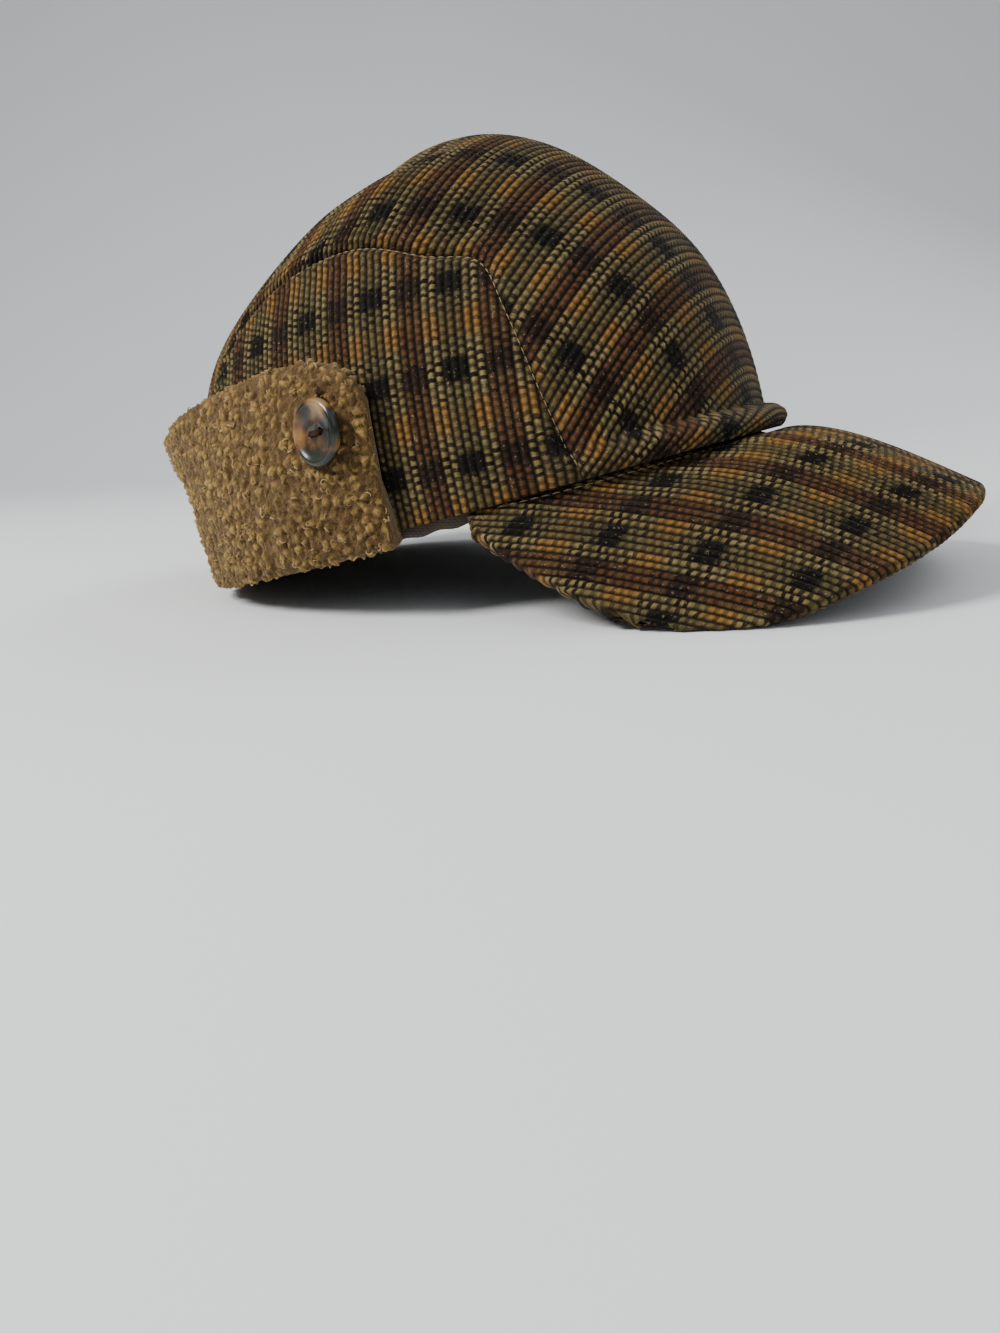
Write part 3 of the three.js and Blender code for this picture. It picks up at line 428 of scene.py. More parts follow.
def centre_panel():
    """Each cord lies in a plane that holds the line from ear to ear and leans forward at the front."""
    turn = np.linspace(0, math.pi, 1500)
    middle = on_dome(np.stack([np.cos(turn) * 100, 0 * turn, np.sin(turn) * 115], -1), dented=False)
    run = distances(middle)
    plane = np.radians(52 + 68 * smooth_step(run / run[-1], 0.28, 0.97))
    edge = np.vstack([hem_arc(FRONT_LENGTH, left_seam[0, 0])[:-1], left_seam,
                      hem_arc(left_seam[-1, 0], -BACK_LENGTH)[1:]])
    # how far along the middle the cord through each border point crosses it
    side_of = ((edge[:, None, 2] - middle[None, :, 2]) * np.cos(plane)
               - (edge[:, None, 0] - middle[None, :, 0]) * np.sin(plane))
    crossing = np.argmax(side_of < 0, axis=1)
    crossing[0], crossing[-1] = 0, len(run) - 1
    cross_run = np.maximum.accumulate(run[crossing])
    keep = np.concatenate([[True], np.diff(cross_run) > 0])
    edge, cross_run = edge[keep], cross_run[keep]
    cords = int((run[-1] - 1.2) / (CORD_PITCH * 1.12))
    columns = cords * CORD_STEPS + 1
    at = np.linspace(0.6, run[-1] - 0.6, columns)
    start, end = read_at(at, run, middle), read_at(at, cross_run, edge)
    down = unit(end[:, (0, 2)] - start[:, (0, 2)])
    depth = np.linalg.norm(end[:, (0, 2)] - start[:, (0, 2)], axis=1)
    y = np.linspace(-1, 1, 81)[:, None] * end[None, :, 1]
    low, high = np.zeros(y.shape), np.broadcast_to(depth * 1.02, y.shape).copy()
    for _ in range(34):
        half = (low + high) / 2
        outside = dome_level(start[:, 0] + half * down[:, 0], y, start[:, 2] + half * down[:, 1]) > 1
        low, high = np.where(outside, half, low), np.where(outside, high, half)
    path = np.stack([start[:, 0] + low * down[:, 0], y, np.maximum(start[:, 2] + low * down[:, 1], 0)], -1)
    p, lengths = evenly(on_dome(path), CENTRE_ROWS)
    v = (np.linspace(-0.5, 0.5, CENTRE_ROWS)[:, None]) * lengths[None, :]
    wale = np.linspace(0, cords, columns)
    uv = np.stack([np.broadcast_to(wale * CORD_PITCH, v.shape), v], -1)
    return p, uv, wale


def squared_check(p, middle_row):
    """Distances along the cords, so that the woven lines across them stay square to them."""
    steps = np.linalg.norm(np.diff(p, axis=0), axis=2)
    run = np.vstack([np.zeros(p.shape[1]), np.cumsum(steps, axis=0)])
    along = unit(np.gradient(p, axis=0))[middle_row]
    shift = np.sum((p[middle_row, 1:] - p[middle_row, :-1]) * (along[1:] + along[:-1]) / 2, axis=1)
    shift = np.concatenate([[0], np.cumsum(shift)])
    shift -= shift[len(shift) // 2]
    return run - run[middle_row] + shift


def finish_panel(name, p, uv, wale, seams, node):
    """Gives a crown panel its cords, its dips along the seams, its lining and its place in the hat."""
    away = seam_distance(p, [on_dome(s) for s in seams])
    near, beside = np.exp(-(away / SEAM_WIDTH) ** 2), np.exp(-((away - 3.4) / 1.8) ** 2)
    lift = CORD_RELIEF * cord_relief(wale)[None, :] * (1 - 0.7 * near) - SEAM_DEPTH * near + 0.5 * beside
    shaped = rolled_hem(p + grid_normals(p) * lift[..., None])
    piece = cloth_grid(name, shaped, uv)
    face_outwards(piece, mathutils.Vector(to_world(np.array([0, 0, 30.0]))))
    piece.data.materials.append(corduroy)
    piece.data.materials.append(lining)
    thicken(piece, PANEL_THICKNESS, 1)
    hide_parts(node)
    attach(piece, "root")
    return piece


def cut_off_grain(uv, across, along, slant):
    """Where the check lies on a panel, and how much its cross lines slant, in repeats for each repeat."""
    u = uv[..., 0] + round(across * CHECK_CORDS) * CORD_PITCH
    v = uv[..., 1] + along * CHECK_REPEAT + slant * u * CHECK_REPEAT / (CHECK_CORDS * CORD_PITCH)
    return np.stack([u, v], -1)


p, uv, wale = centre_panel()
crown_centre = finish_panel("centre_panel_cloth", p, cut_off_grain(uv, *CENTRE_CHECK), wale,
                            [left_seam, right_seam], "crown_centre_panel")

# Crown, side panels.
# One piece of the same corduroy over each ear, from the hem up to the crown seam. Its cords lean a little
# forward, and its curved edge is sewn to the centre panel.
SIDE_ROWS = 74
SIDE_LEAN = 0.02  # how far forward a cord leans for each unit of height
SIDE_CHECK = (-0.8, 0.37, 0.0)


def side_panel(side):
    seam = crown_seam(side)
    c = seam[:, 0] - SIDE_LEAN * seam[:, 2]
    order = np.argsort(c)
    span = c[order[-1]] - c[order[0]]
    cords = int(span / CORD_PITCH)
    columns = cords * CORD_STEPS + 1
    at = np.linspace(c.min() + 0.5, c.max() - 0.5, columns)
    place = np.interp(at, c[order], np.arange(len(c))[order].astype(float))
    i = np.clip(place.astype(int), 0, len(c) - 2)
    top = seam[i] + (seam[i + 1] - seam[i]) * (place - i)[:, None]
    z = np.linspace(0, 1, 60)[:, None] * top[None, :, 2]
    x = at[None, :] + SIDE_LEAN * z
    leaned = x - APEX_LEAN * z / CROWN_HEIGHT
    length = np.where(leaned > 0, FRONT_LENGTH, BACK_LENGTH)
    left = 1 - np.abs(leaned / length) ** FULLNESS - (z / CROWN_HEIGHT) ** FULLNESS
    path = np.stack([x, side * HALF_WIDTH * np.maximum(left, 1e-6) ** (1 / FULLNESS), z], -1)
    path[-1] = top
    p, lengths = evenly(on_dome(path), SIDE_ROWS)
    v = squared_check(p, 20)
    wale = np.linspace(0, cords, columns)
    return p, np.stack([np.broadcast_to(wale * CORD_PITCH, v.shape), v], -1), wale


for word, side in (("right", -1), ("left", 1)):
    p, uv, wale = side_panel(side)
    piece = finish_panel(f"side_panel_{word}_cloth", p, cut_off_grain(uv, *SIDE_CHECK), wale,
                         [crown_seam(side)], f"crown_side_panel_{word}")

# Peak, upper cloth.
# A stiff board covered with the same corduroy, whose cords run straight to the front. The cloth turns
# over the board's edge, and its inner edge is sewn in under the rolled hem.
PEAK_REACH, PEAK_DROP, PEAK_HALF_WIDTH, PEAK_SIDE_DROP, PEAK_END = 59.0, 31.0, 87.0, 45.0, 70.0
BOARD_HALF = 2.25  # half the thickness of the covered board
ROOT_INSET = 2.2  # how far inside the crown's surface the peak is sewn in
PEAK_CHECK = (0.0, 0.35, -0.33)
# root, forward, side and drop shares along the free edge from its centre to one end
PEAK_EDGE = np.array((
    (0, 1.0, 0, PEAK_DROP / PEAK_SIDE_DROP), (0.17, 0.99, 0.25, 0.695), (0.31, 0.955, 0.46, 0.76),
    (0.43, 0.9, 0.625, 0.83), (0.53, 0.83, 0.75, 0.895), (0.61, 0.75, 0.85, 0.95),
    (0.69, 0.66, 0.92, 0.965), (0.78, 0.555, 0.975, 0.88), (0.86, 0.445, 1.0, 0.67),
    (0.93, 0.345, 0.985, 0.42), (1.0, 0.25, 0.945, 0.1),
))


def smooth_column(key, rows, column):
    """Reads a column of rows as a smooth function of the first one."""
    x, y = rows[:, 0], rows[:, column]
    i = np.clip(np.searchsorted(x, key), 1, len(x) - 1)
    before, after = np.maximum(i - 2, 0), np.minimum(i + 1, len(x) - 1)
    span = x[i] - x[i - 1]
    s = np.clip((key - x[i - 1]) / span, 0, 1)
    slope_from = (y[i] - y[before]) / (x[i] - x[before])
    slope_to = (y[after] - y[i - 1]) / (x[after] - x[i - 1])
    return ((2 * s ** 3 - 3 * s ** 2 + 1) * y[i - 1] + (s ** 3 - 2 * s ** 2 + s) * span * slope_from
            + (3 * s ** 2 - 2 * s ** 3) * y[i] + (s ** 3 - s ** 2) * span * slope_to)


def crown_ring(turn, height):
    """The crown's outline at a height, for angles round from the front."""
    turn, height = np.broadcast_arrays(turn, height)
    up = np.maximum(height, 0) / CROWN_HEIGHT
    share = (1 - up ** FULLNESS) ** (1 / FULLNESS)
    c, s, power = np.cos(turn), np.sin(turn), 2 / FULLNESS
    x = APEX_LEAN * up + np.where(c > 0, FRONT_LENGTH, BACK_LENGTH) * share * np.sign(c) * np.abs(c) ** power
    y = HALF_WIDTH * share * np.sign(s) * np.abs(s) ** power
    p = np.stack([x, y, np.maximum(height, 0)], -1)
    for _ in range(5):
        scale = dome_reach(unit(p), True) / np.linalg.norm(p, axis=-1)
        p[..., :2] *= scale[..., None]
    p[..., 2] = height
    return p


def ring_outward(turn, height):
    along = crown_ring(turn + 0.02, height) - crown_ring(turn - 0.02, height)
    return unit(np.stack([along[..., 1], -along[..., 0], 0 * along[..., 0]], -1))


mirrored = PEAK_EDGE[:0:-1] * np.array([-1, 1, -1, 1])
PEAK_EDGE = np.vstack([mirrored, PEAK_EDGE])


def peak_root(across):
    turn = np.radians(PEAK_END) * across
    root = crown_ring(turn, 0.0) - ring_outward(turn, 0.0) * ROOT_INSET
    root[..., 2] = HEM_LIFT * front_share(root) - 0.3
    return root


def peak_edge(across):
    return np.stack([(FRONT_LENGTH + PEAK_REACH) * smooth_column(across, PEAK_EDGE, 1),
                     PEAK_HALF_WIDTH * smooth_column(across, PEAK_EDGE, 2),
                     -PEAK_SIDE_DROP * smooth_column(across, PEAK_EDGE, 3)], -1)


def peak_point(across, out):
    p = peak_root(across) * (1 - out)[..., None] + peak_edge(across) * out[..., None]
    bow = np.clip((out - 0.06) / 0.94, 0, 1)
    p[..., 2] += 7 * np.sin(math.pi * bow ** 0.7) * (1 - across ** 2)
    return p


class PeakCloth:
    """The peak's upper face in the cloth's own directions, level distance forward and distance across."""

    def __init__(self):
        a = np.linspace(0, 1, 400)
        self.root, self.edge = peak_root(a), peak_edge(a)
        step = np.diff(self.root, axis=0)
        root_w = np.concatenate([[0], np.cumsum(np.hypot(step[:, 1], step[:, 2]))])
        self.xs = np.linspace(self.root[-1, 0] - 1, FRONT_LENGTH + PEAK_REACH, 240)
        self.slices = []
        for x in self.xs:
            out = (x - self.root[:, 0]) / np.maximum(self.edge[:, 0] - self.root[:, 0], 1e-6)
            good = np.where((out > -0.02) & (out < 1.02))[0]
            if len(good) < 2:
                good = np.array([0, 1]) if x > 100 else np.array([398, 399])
            fine = np.linspace(a[good[0]], a[good[-1]], 160)
            root, edge = peak_root(fine), peak_edge(fine)
            share = np.clip((x - root[:, 0]) / (edge[:, 0] - root[:, 0]), 0, 1)
            p = peak_point(fine, share)
            start = np.interp(fine[0], a, root_w)
            w = start + np.concatenate([[0], np.cumsum(np.hypot(np.diff(p[:, 1]), np.diff(p[:, 2])))])
            self.slices.append((w, p[:, 1], p[:, 2]))
        self.rear, self.front = self.border()

    def at(self, x, w):
        """The point of the face x forward and w across."""
        i = np.clip(np.searchsorted(self.xs, x) - 1, 0, len(self.xs) - 2)
        t = (x - self.xs[i]) / (self.xs[i + 1] - self.xs[i])
        lower, upper = self.slices[i], self.slices[i + 1]
        y = (1 - t) * np.interp(w, lower[0], lower[1]) + t * np.interp(w, upper[0], upper[1])
        z = (1 - t) * np.interp(w, lower[0], lower[2]) + t * np.interp(w, upper[0], upper[2])
        return np.array([x, y, z])

    def across_at(self, p):
        i = np.clip(np.searchsorted(self.xs, p[0]) - 1, 0, len(self.xs) - 2)
        t = np.clip((p[0] - self.xs[i]) / (self.xs[i + 1] - self.xs[i]), 0, 1)
        found = []
        for w, y, z in (self.slices[i], self.slices[i + 1]):
            k = np.argmin((y - p[1]) ** 2 + (z - p[2]) ** 2)
            found.append(w[k])
        return (1 - t) * found[0] + t * found[1]

    def border(self):
        """Rear and front borders as rows of distance across, x, y, z, and how far the edge is free."""
        root = np.array([[self.across_at(p), *p, 0.0] for p in self.root])
        edge = np.array([[self.across_at(p), *p, 1.0] for p in self.edge])
        widest = int(np.argmax(edge[:, 0]))
        end = np.array([root[-1] * (1 - t) + edge[-1] * t for t in np.linspace(0.1, 0.9, 6)])
        rear = np.vstack([root, end, edge[:widest - 1:-1]])
        front = edge[:widest + 1]
        return self.rising(rear), self.rising(front)

    @staticmethod
    def rising(rows):
        keep = [rows[0]]
        for row in rows[1:]:
            if row[0] > keep[-1][0] + 0.02:
                keep.append(row)
        return np.array(keep)


peak_cloth = PeakCloth()
PEAK_ROWS = 46
EDGE_TURNS, EDGE_ROUND = 9, math.pi * 0.93  # rows of the cloth that turn round the board, and how far round


def peak_grid():
    widest = min(peak_cloth.rear[-1, 0], peak_cloth.front[-1, 0]) - 0.35
    cords = int(2 * widest / CORD_PITCH)
    columns = cords * CORD_STEPS + 1
    wale = np.linspace(-cords / 2, cords / 2, columns)
    columns_p, columns_v = [], []
    share = np.linspace(0, 1, PEAK_ROWS)
    for w in np.linspace(-widest, widest, columns):
        rear = read_at(abs(w), peak_cloth.rear[:, 0], peak_cloth.rear[:, 1:5])
        front = read_at(abs(w), peak_cloth.front[:, 0], peak_cloth.front[:, 1:4])
        face = np.array([peak_cloth.at(x, abs(w)) for x in rear[0] + share * (front[0] - rear[0])])
        face += np.outer(1 - share, rear[:3] - face[0]) + np.outer(share, front - face[-1])
        if w < 0:
            face[:, 1] *= -1
        columns_p.append(face)
        columns_v.append(rear[3])
    p = np.array(columns_p).transpose(1, 0, 2)
    return p, wale, np.array(columns_v)


def draw_back(path, distance):
    """Starts a row of points that far further along it."""
    run = distances(path)
    return read_at(np.linspace(min(distance, run[-1] * 0.4), run[-1], len(path)), run, path)


def peak_cloth_piece():
    p, wale, free_rear = peak_grid()
    normal = grid_normals(p)
    normal = np.where((normal[..., 2:] < 0), -normal, normal)
    # where the edge is free, the face stops half a board's thickness before it and turns round it
    trimmed = np.empty_like(p)
    for c in range(p.shape[1]):
        path = draw_back(p[::-1, c], BOARD_HALF)[::-1]
        if free_rear[c] > 0.02:
            path = draw_back(path, BOARD_HALF * free_rear[c])
        trimmed[:, c] = path
    border = unit(p[-1] - trimmed[-1])
    rear_out = unit(p[0] - trimmed[0])
    reach = np.minimum(free_rear, 1)[:, None]
    rows = []
    for k in range(EDGE_TURNS, 0, -1):
        angle = EDGE_ROUND * k / EDGE_TURNS
        rows.append(trimmed[0] + reach * (rear_out * BOARD_HALF * math.sin(angle)
                                          - normal[0] * BOARD_HALF * (1 - math.cos(angle)))
                    - (1 - reach) * normal[0] * 0.35 * k)
    rows.extend(trimmed)
    for k in range(1, EDGE_TURNS + 1):
        angle = EDGE_ROUND * k / EDGE_TURNS
        rows.append(trimmed[-1] + border * BOARD_HALF * math.sin(angle)
                    - normal[-1] * BOARD_HALF * (1 - math.cos(angle)))
    p = np.array(rows)
    return p, wale, squared_check(p, EDGE_TURNS + PEAK_ROWS // 2), trimmed, normal


p, wale, v, peak_face, peak_face_normal = peak_cloth_piece()
normal = grid_normals(p)
if normal[EDGE_TURNS + 10, p.shape[1] // 2, 2] < 0:
    normal = -normal
from_root = np.clip((np.arange(p.shape[0]) - EDGE_TURNS) / PEAK_ROWS, 0, 1)[:, None]
relief = CORD_RELIEF * cord_relief(wale - wale[0])[None, :] * np.ones((p.shape[0], 1))
# soft puckers where the joint with the hem eases the cloth
aside = p[..., 1]
pucker = 1.1 * np.exp(-((from_root - 0.16) / 0.1) ** 2) * np.sin(aside / 7.5 + 1.7 * np.sin(aside / 19.0))
pucker = pucker * smooth_step(np.abs(aside), 5, 40)
p = p + normal * (relief + pucker)[..., None]
uv = np.stack([np.broadcast_to((wale - wale[0]) * CORD_PITCH, v.shape), v], -1)
peak_upper = cloth_grid("peak_upper_cloth", p, cut_off_grain(uv, *PEAK_CHECK))
face_outwards(peak_upper, mathutils.Vector(to_world(np.array([60.0, 0, -150.0]))))
peak_upper.data.materials.append(corduroy)
peak_upper.data.materials.append(lining)
thicken(peak_upper, 1.0, 1)
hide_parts("peak_top")
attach(peak_upper, "root")

# Ear and neck flap, backing.
# A strip of the corduroy behind the fleece. With the flap turned up it faces the crown, and only its upper
# edge shows.
FLAP_HEIGHT, FLAP_END, FLAP_CORNER, FLAP_FLARE, FLAP_BEND = 54.0, math.radians(81), 17.0, 11.0, 0.36
FLAP_FOLD, FLEECE, BACKING, FLAP_GAP = 4.5, 5.2, 1.6, 0.5
# run, height and flare from either end of the flap to the middle of the back
FLAP_RUN = np.array((
    (0, 0.93, 0), (0.12, 0.97, 0.02), (0.35, 0.99, 0.12), (0.6, 0.97, 0.5), (0.8, 0.9, 0.95), (1, 0.88, 1),
))
HALF_RUN = math.pi - FLAP_END


def flap_top(turn):
    from_end = np.maximum(HALF_RUN - np.abs(math.pi - turn), 0)
    height = FLAP_HEIGHT * smooth_column(from_end / HALF_RUN, FLAP_RUN, 1)
    inside = np.minimum(from_end * HALF_WIDTH, FLAP_CORNER)
    return height - FLAP_CORNER + np.sqrt(FLAP_CORNER ** 2 - (FLAP_CORNER - inside) ** 2)


def flap_point(turn, off, height):
    from_end = np.clip((HALF_RUN - np.abs(math.pi - turn)) / HALF_RUN, 0, 1)
    bend = smooth_step(height, FLAP_HEIGHT * FLAP_BEND, FLAP_HEIGHT)
    lean = (FLAP_FLARE * smooth_column(from_end, FLAP_RUN, 2) * bend
            * (1 + np.maximum(height - FLAP_HEIGHT, 0) / FLAP_HEIGHT))
    return crown_ring(turn, height) + ring_outward(turn, height) * (off + lean)[..., None]


def backing_strip():
    cords = 190
    turn = np.linspace(FLAP_END + 0.03, 2 * math.pi - FLAP_END - 0.03, cords * 2 + 1)
    top = flap_top(turn) - FLEECE / 2
    height = np.linspace(0.02, 1, 20)[:, None] * top[None, :]
    p = flap_point(np.broadcast_to(turn, height.shape), np.full(height.shape, FLAP_GAP + BACKING), height)
    wale = np.linspace(0, cords, len(turn))
    uv = np.stack([np.broadcast_to(wale * CORD_PITCH, height.shape), height], -1)
    return p, uv


p, uv = backing_strip()
backing = cloth_grid("flap_backing_cloth", p, uv)
face_outwards(backing, mathutils.Vector(to_world(np.array([0, 0, 25.0]))))
backing.data.materials.append(corduroy)
thicken(backing, BACKING)
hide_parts("flap_backing")
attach(backing, "root")

# Ear and neck flap, fleece.
# A camel-coloured curled pile on a knitted ground, folded up from under the hem. Its free edge and its two
# front ends are turned in round and soft.
FLEECE_INSIDE = FLAP_GAP * 2 + BACKING
FLEECE_OUTSIDE = FLEECE_INSIDE + FLEECE
FLEECE_AROUND, FLEECE_ALONG, FLEECE_END_TURNS = 136, 440, 8
CURL_STAND, CURL_BRUSHED, FLEECE_SEED = 1.9, 0.6, 7


def fleece_outline(top):
    """The flap's section as off and height, a closed outline with even steps."""
    roll = FLEECE / 2
    under = [(-1.6, -0.5), (-2.0, -FLAP_FOLD * 0.5), (-1.2, -FLAP_FOLD * 0.9),
             (FLEECE_INSIDE * 0.4, -FLAP_FOLD), (FLEECE_INSIDE + roll * 0.6, -FLAP_FOLD),
             (FLEECE_INSIDE + roll * 1.2, -FLAP_FOLD * 0.7)]
    rise = np.linspace(0, 1, 12)
    height = -FLAP_FOLD * 0.2 + rise * (top - roll + FLAP_FOLD * 0.2)
    tuck = roll * 0.55 * (1 - smooth_step(height, 0, FLAP_HEIGHT / 3))
    outside = np.stack([FLEECE_OUTSIDE - tuck, height], -1)
    turn = np.linspace(0.25, math.pi - 0.25, 7)
    over = np.stack([FLEECE_INSIDE + roll + roll * np.cos(turn), top - roll + roll * np.sin(turn)], -1)
    inside = np.stack([np.full(12, FLEECE_INSIDE), (top - roll) * rise[::-1] - 0.3 * (1 - rise[::-1])], -1)
    outline = np.vstack([under, outside, over, inside, under[:1]])
    run = distances(outline)
    return read_at(np.linspace(0, run[-1], FLEECE_AROUND + 1)[:-1], run, outline)


def fleece_sections():
    """Turn, off and height for every point of the pile's surface, with round ends."""
    rounded = FLEECE / 2
    t = np.linspace(0, 1, FLEECE_END_TURNS + 1)[:-1]
    start = FLAP_END + rounded * t / HALF_WIDTH
    round_end = np.sqrt(1 - (1 - t) ** 2 + 0.0004)
    first, last = FLAP_END + rounded / HALF_WIDTH, 2 * math.pi - FLAP_END - rounded / HALF_WIDTH
    turn = np.concatenate([start, np.linspace(first, last, FLEECE_ALONG), (2 * math.pi - start)[::-1]])
    share = np.concatenate([round_end, np.ones(FLEECE_ALONG), round_end[::-1]])
    off, height = np.empty((FLEECE_AROUND, len(turn))), np.empty((FLEECE_AROUND, len(turn)))
    for i, (angle, k) in enumerate(zip(turn, share)):
        inside_turn = min(max(angle, FLAP_END + 0.004), 2 * math.pi - FLAP_END - 0.004)
        outline = fleece_outline(float(flap_top(np.array(inside_turn))))
        centre = np.stack([np.full(len(outline), FLEECE_INSIDE + rounded), outline[:, 1]], -1)
        low = outline[:, 1] < 0.3
        centre[low] = np.stack([outline[low, 0], np.full(low.sum(), -FLAP_FOLD / 2)], -1)
        outline = centre + (outline - centre) * k
        off[:, i], height[:, i] = outline[:, 0], outline[:, 1]
    return turn, off, height


def curl_height(places):
    """Height of the curled pile, from 0 in the gaps between the curls to 1 on top of them."""
    out = np.empty(len(places))
    for i, q in enumerate(places):
        q = mathutils.Vector(q)
        bent = q + mathutils.noise.noise_vector(q * 330) * 0.0008
        first, second = mathutils.noise.voronoi(bent * 330)[0][:2]
        small = mathutils.noise.noise(bent * 900) * 0.16 + mathutils.noise.noise(bent * 420) * 0.18
        out[i] = (second - first) * 1.7 + small
    return np.clip(out, 0, 1) ** 0.6


def join_edges(piece):
    """Joins the edges of a rolled-up grid where they meet."""
    bpy.ops.object.select_all(action="DESELECT")
    piece.select_set(True)
    bpy.context.view_layer.objects.active = piece
    bpy.ops.object.mode_set(mode="EDIT")
    bpy.ops.mesh.select_all(action="SELECT")
    bpy.ops.mesh.remove_doubles(threshold=0.00002)
    bpy.ops.object.mode_set(mode="OBJECT")
    for f in piece.data.polygons:
        f.use_smooth = True


mathutils.noise.seed_set(FLEECE_SEED)  # the noise vectors below are offset by this seed
turn, off, height = fleece_sections()
around = np.broadcast_to(turn, off.shape)
p = flap_point(around, off, height)
normal = unit(np.cross(np.gradient(p, axis=1), np.roll(p, -1, axis=0) - np.roll(p, 1, axis=0)))
outer = off > FLEECE_OUTSIDE - 0.5
if np.sum(normal[outer] * ring_outward(around, np.abs(height))[outer]) < 0:
    normal = -normal
places = to_world(p).reshape(-1, 3)
curls = curl_height(places).reshape(off.shape)
free = np.clip(np.minimum(np.arange(len(turn)), np.arange(len(turn))[::-1]) / 6, 0, 1)
stand = (curls - 0.55) * CURL_STAND * free
stand = np.where(off < FLEECE_INSIDE + 0.6, np.minimum(stand, 0) * 0.4, stand)
# each curl is also brushed a little to one side
brushed = np.array([mathutils.noise.noise_vector(mathutils.Vector(q) * 620) for q in places]).reshape(p.shape)
p = p + normal * stand[..., None] + brushed * CURL_BRUSHED * free[:, None]
p[:, 0], p[:, -1] = p[:, 0].mean(axis=0), p[:, -1].mean(axis=0)
uv = np.stack([around * 90, np.broadcast_to(np.arange(len(p))[:, None] * 1.0, off.shape)], -1)
fleece = cloth_grid("flap_fleece_pile", np.vstack([p, p[:1]]), np.vstack([uv, uv[:1]]), 0.0002)
mesh = fleece.data
pile = mesh.attributes.new("pile", "FLOAT", "POINT")
pile.data.foreach_set("value", np.vstack([curls, curls[:1]]).ravel())
join_edges(fleece)
face_outwards(fleece, mathutils.Vector(to_world(np.array([0, 0, 25.0]))))


def camel_fleece():
    """Curled camel pile with painted shade in its gaps and along its curls, fine hair, and a warmer painted
    highlight on the curl tops.
    """
    wool = Finish("camel_fleece", 0.95, Sheen_Weight=0.25, Sheen_Roughness=0.5,
                  Sheen_Tint=(0.95, 0.78, 0.5, 1), Specular_IOR_Level=0.15)
    place = wool.places()
    high = wool.node("ShaderNodeAttribute", {"attribute_name": "pile"}, {}, "Fac")
    stray = wool.node("ShaderNodeTexNoise", {}, {"Vector": place, "Scale": 300.0}, "Color")
    bent = wool.mix(0.0010, place, stray)
    curl = wool.node("ShaderNodeTexVoronoi", {"feature": "DISTANCE_TO_EDGE"},
                     {"Vector": bent, "Scale": 430.0}, 0)
    hair = wool.noise(place, 1500.0, 3.0, 0.7)
    tone = wool.noise(place, 38.0, 3.0)
    # painted shade: the low gaps between the curls are darkened
    gap_shade = (1 - high.rise(0.40, 0.86)) * 0.9
    colour = wool.mix(tone.rise(0.3, 0.7), (0.185, 0.112, 0.027), (0.295, 0.182, 0.046))
    # painted highlight: the tops of the curls are lighter and warmer
    colour = wool.mix(high.rise(0.55, 1.0) * 0.45, colour, (0.36, 0.228, 0.078))
    colour = wool.mix(gap_shade, colour, (0.052, 0.026, 0.009))
    # painted shade along the edges of the finer curls
    colour = wool.mix((1 - curl.rise(0.0, 0.2)) * 0.62, colour, (0.095, 0.050, 0.018))
    colour = wool.mix(hair.rise(0.55, 0.8) * 0.35, colour, (0.58, 0.41, 0.18))
    return wool.wear(colour, None, curl.rise(0.0, 0.4) * 0.5 + hair * 0.7, 0.0007, 0.9)


def single_curls():
    """The same wool for single curls, a shade lighter."""
    wool = Finish("loose_camel_wool", 0.95, Sheen_Weight=0.5, Sheen_Tint=(0.95, 0.78, 0.5, 1))
    tone = wool.noise(wool.places(), 260.0, 3.0)
    return wool.wear(wool.mix(tone.rise(0.3, 0.7), (0.22, 0.125, 0.045), (0.40, 0.26, 0.115)))


fleece_finish, loose_wool = camel_fleece(), single_curls()
mesh.materials.append(fleece_finish)
curls = np.empty(len(mesh.vertices))
mesh.attributes["pile"].data.foreach_get("value", curls)
curls_face = np.array([curls[list(f.vertices)].mean() for f in mesh.polygons])
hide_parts("flap_fleece")
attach(fleece, "root")

# Peak, lower cloth.
# The same corduroy on the underside of the board, with its cords pressed flatter. It is cut a little smaller
# than the upper cloth, which turns in over its edge, and is sewn in under the hem with it.
LOWER_DOWN, LOWER_RELIEF = 3.45, 0.2  # from the upper face, and how far its flattened cords stand out
p = peak_face - peak_face_normal * LOWER_DOWN
p = p + peak_face_normal * (LOWER_RELIEF * cord_relief(wale - wale[0]))[None, :, None]
v = squared_check(p, PEAK_ROWS // 2)
uv = np.stack([np.broadcast_to((wale - wale[0]) * CORD_PITCH, v.shape), v], -1)
peak_lower = cloth_grid("peak_lower_cloth", p, cut_off_grain(uv, 0.4, 0.1, -0.33), 0.0022)
face_outwards(peak_lower, mathutils.Vector(to_world(np.array([60.0, 0, 300.0]))))
peak_lower.data.materials.append(corduroy)
thicken(peak_lower, -0.9)
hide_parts("peak_underside")
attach(peak_lower, "root")

# Hem facing.
# A strip of dark cotton turned up inside the hem and sewn along it. A narrow line of it shows under the
# crown between the flap and the peak.
FACING_RISE, FACING_INSET, FACING_LIP = 18, 3.0, 3
turn = np.linspace(0, 2 * math.pi, 361)
waves = 0.35 * np.sin(turn * 61)
rise = np.linspace(0, 1, 12)[:, None]
low = HEM_LIFT * front_share(np.stack([np.cos(turn), np.sin(turn), 0 * turn], -1)) - FACING_LIP + waves
height = low[None, :] + rise * (FACING_RISE - low[None, :])
inset = FACING_INSET + waves[None, :] * (1 - rise) ** 2
spread = np.broadcast_to(turn, height.shape)
p = crown_ring(spread, height) - ring_outward(spread, height) * inset[..., None]
uv = np.stack([spread * 90, height], -1)
facing = cloth_grid("hem_facing_cloth", p, uv)
face_outwards(facing, mathutils.Vector(to_world(np.array([0, 0, 8.0]))))
facing.data.materials.append(lining)
join_edges(facing)
thicken(facing, 1.1)
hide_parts("hem_facing")
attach(facing, "root")

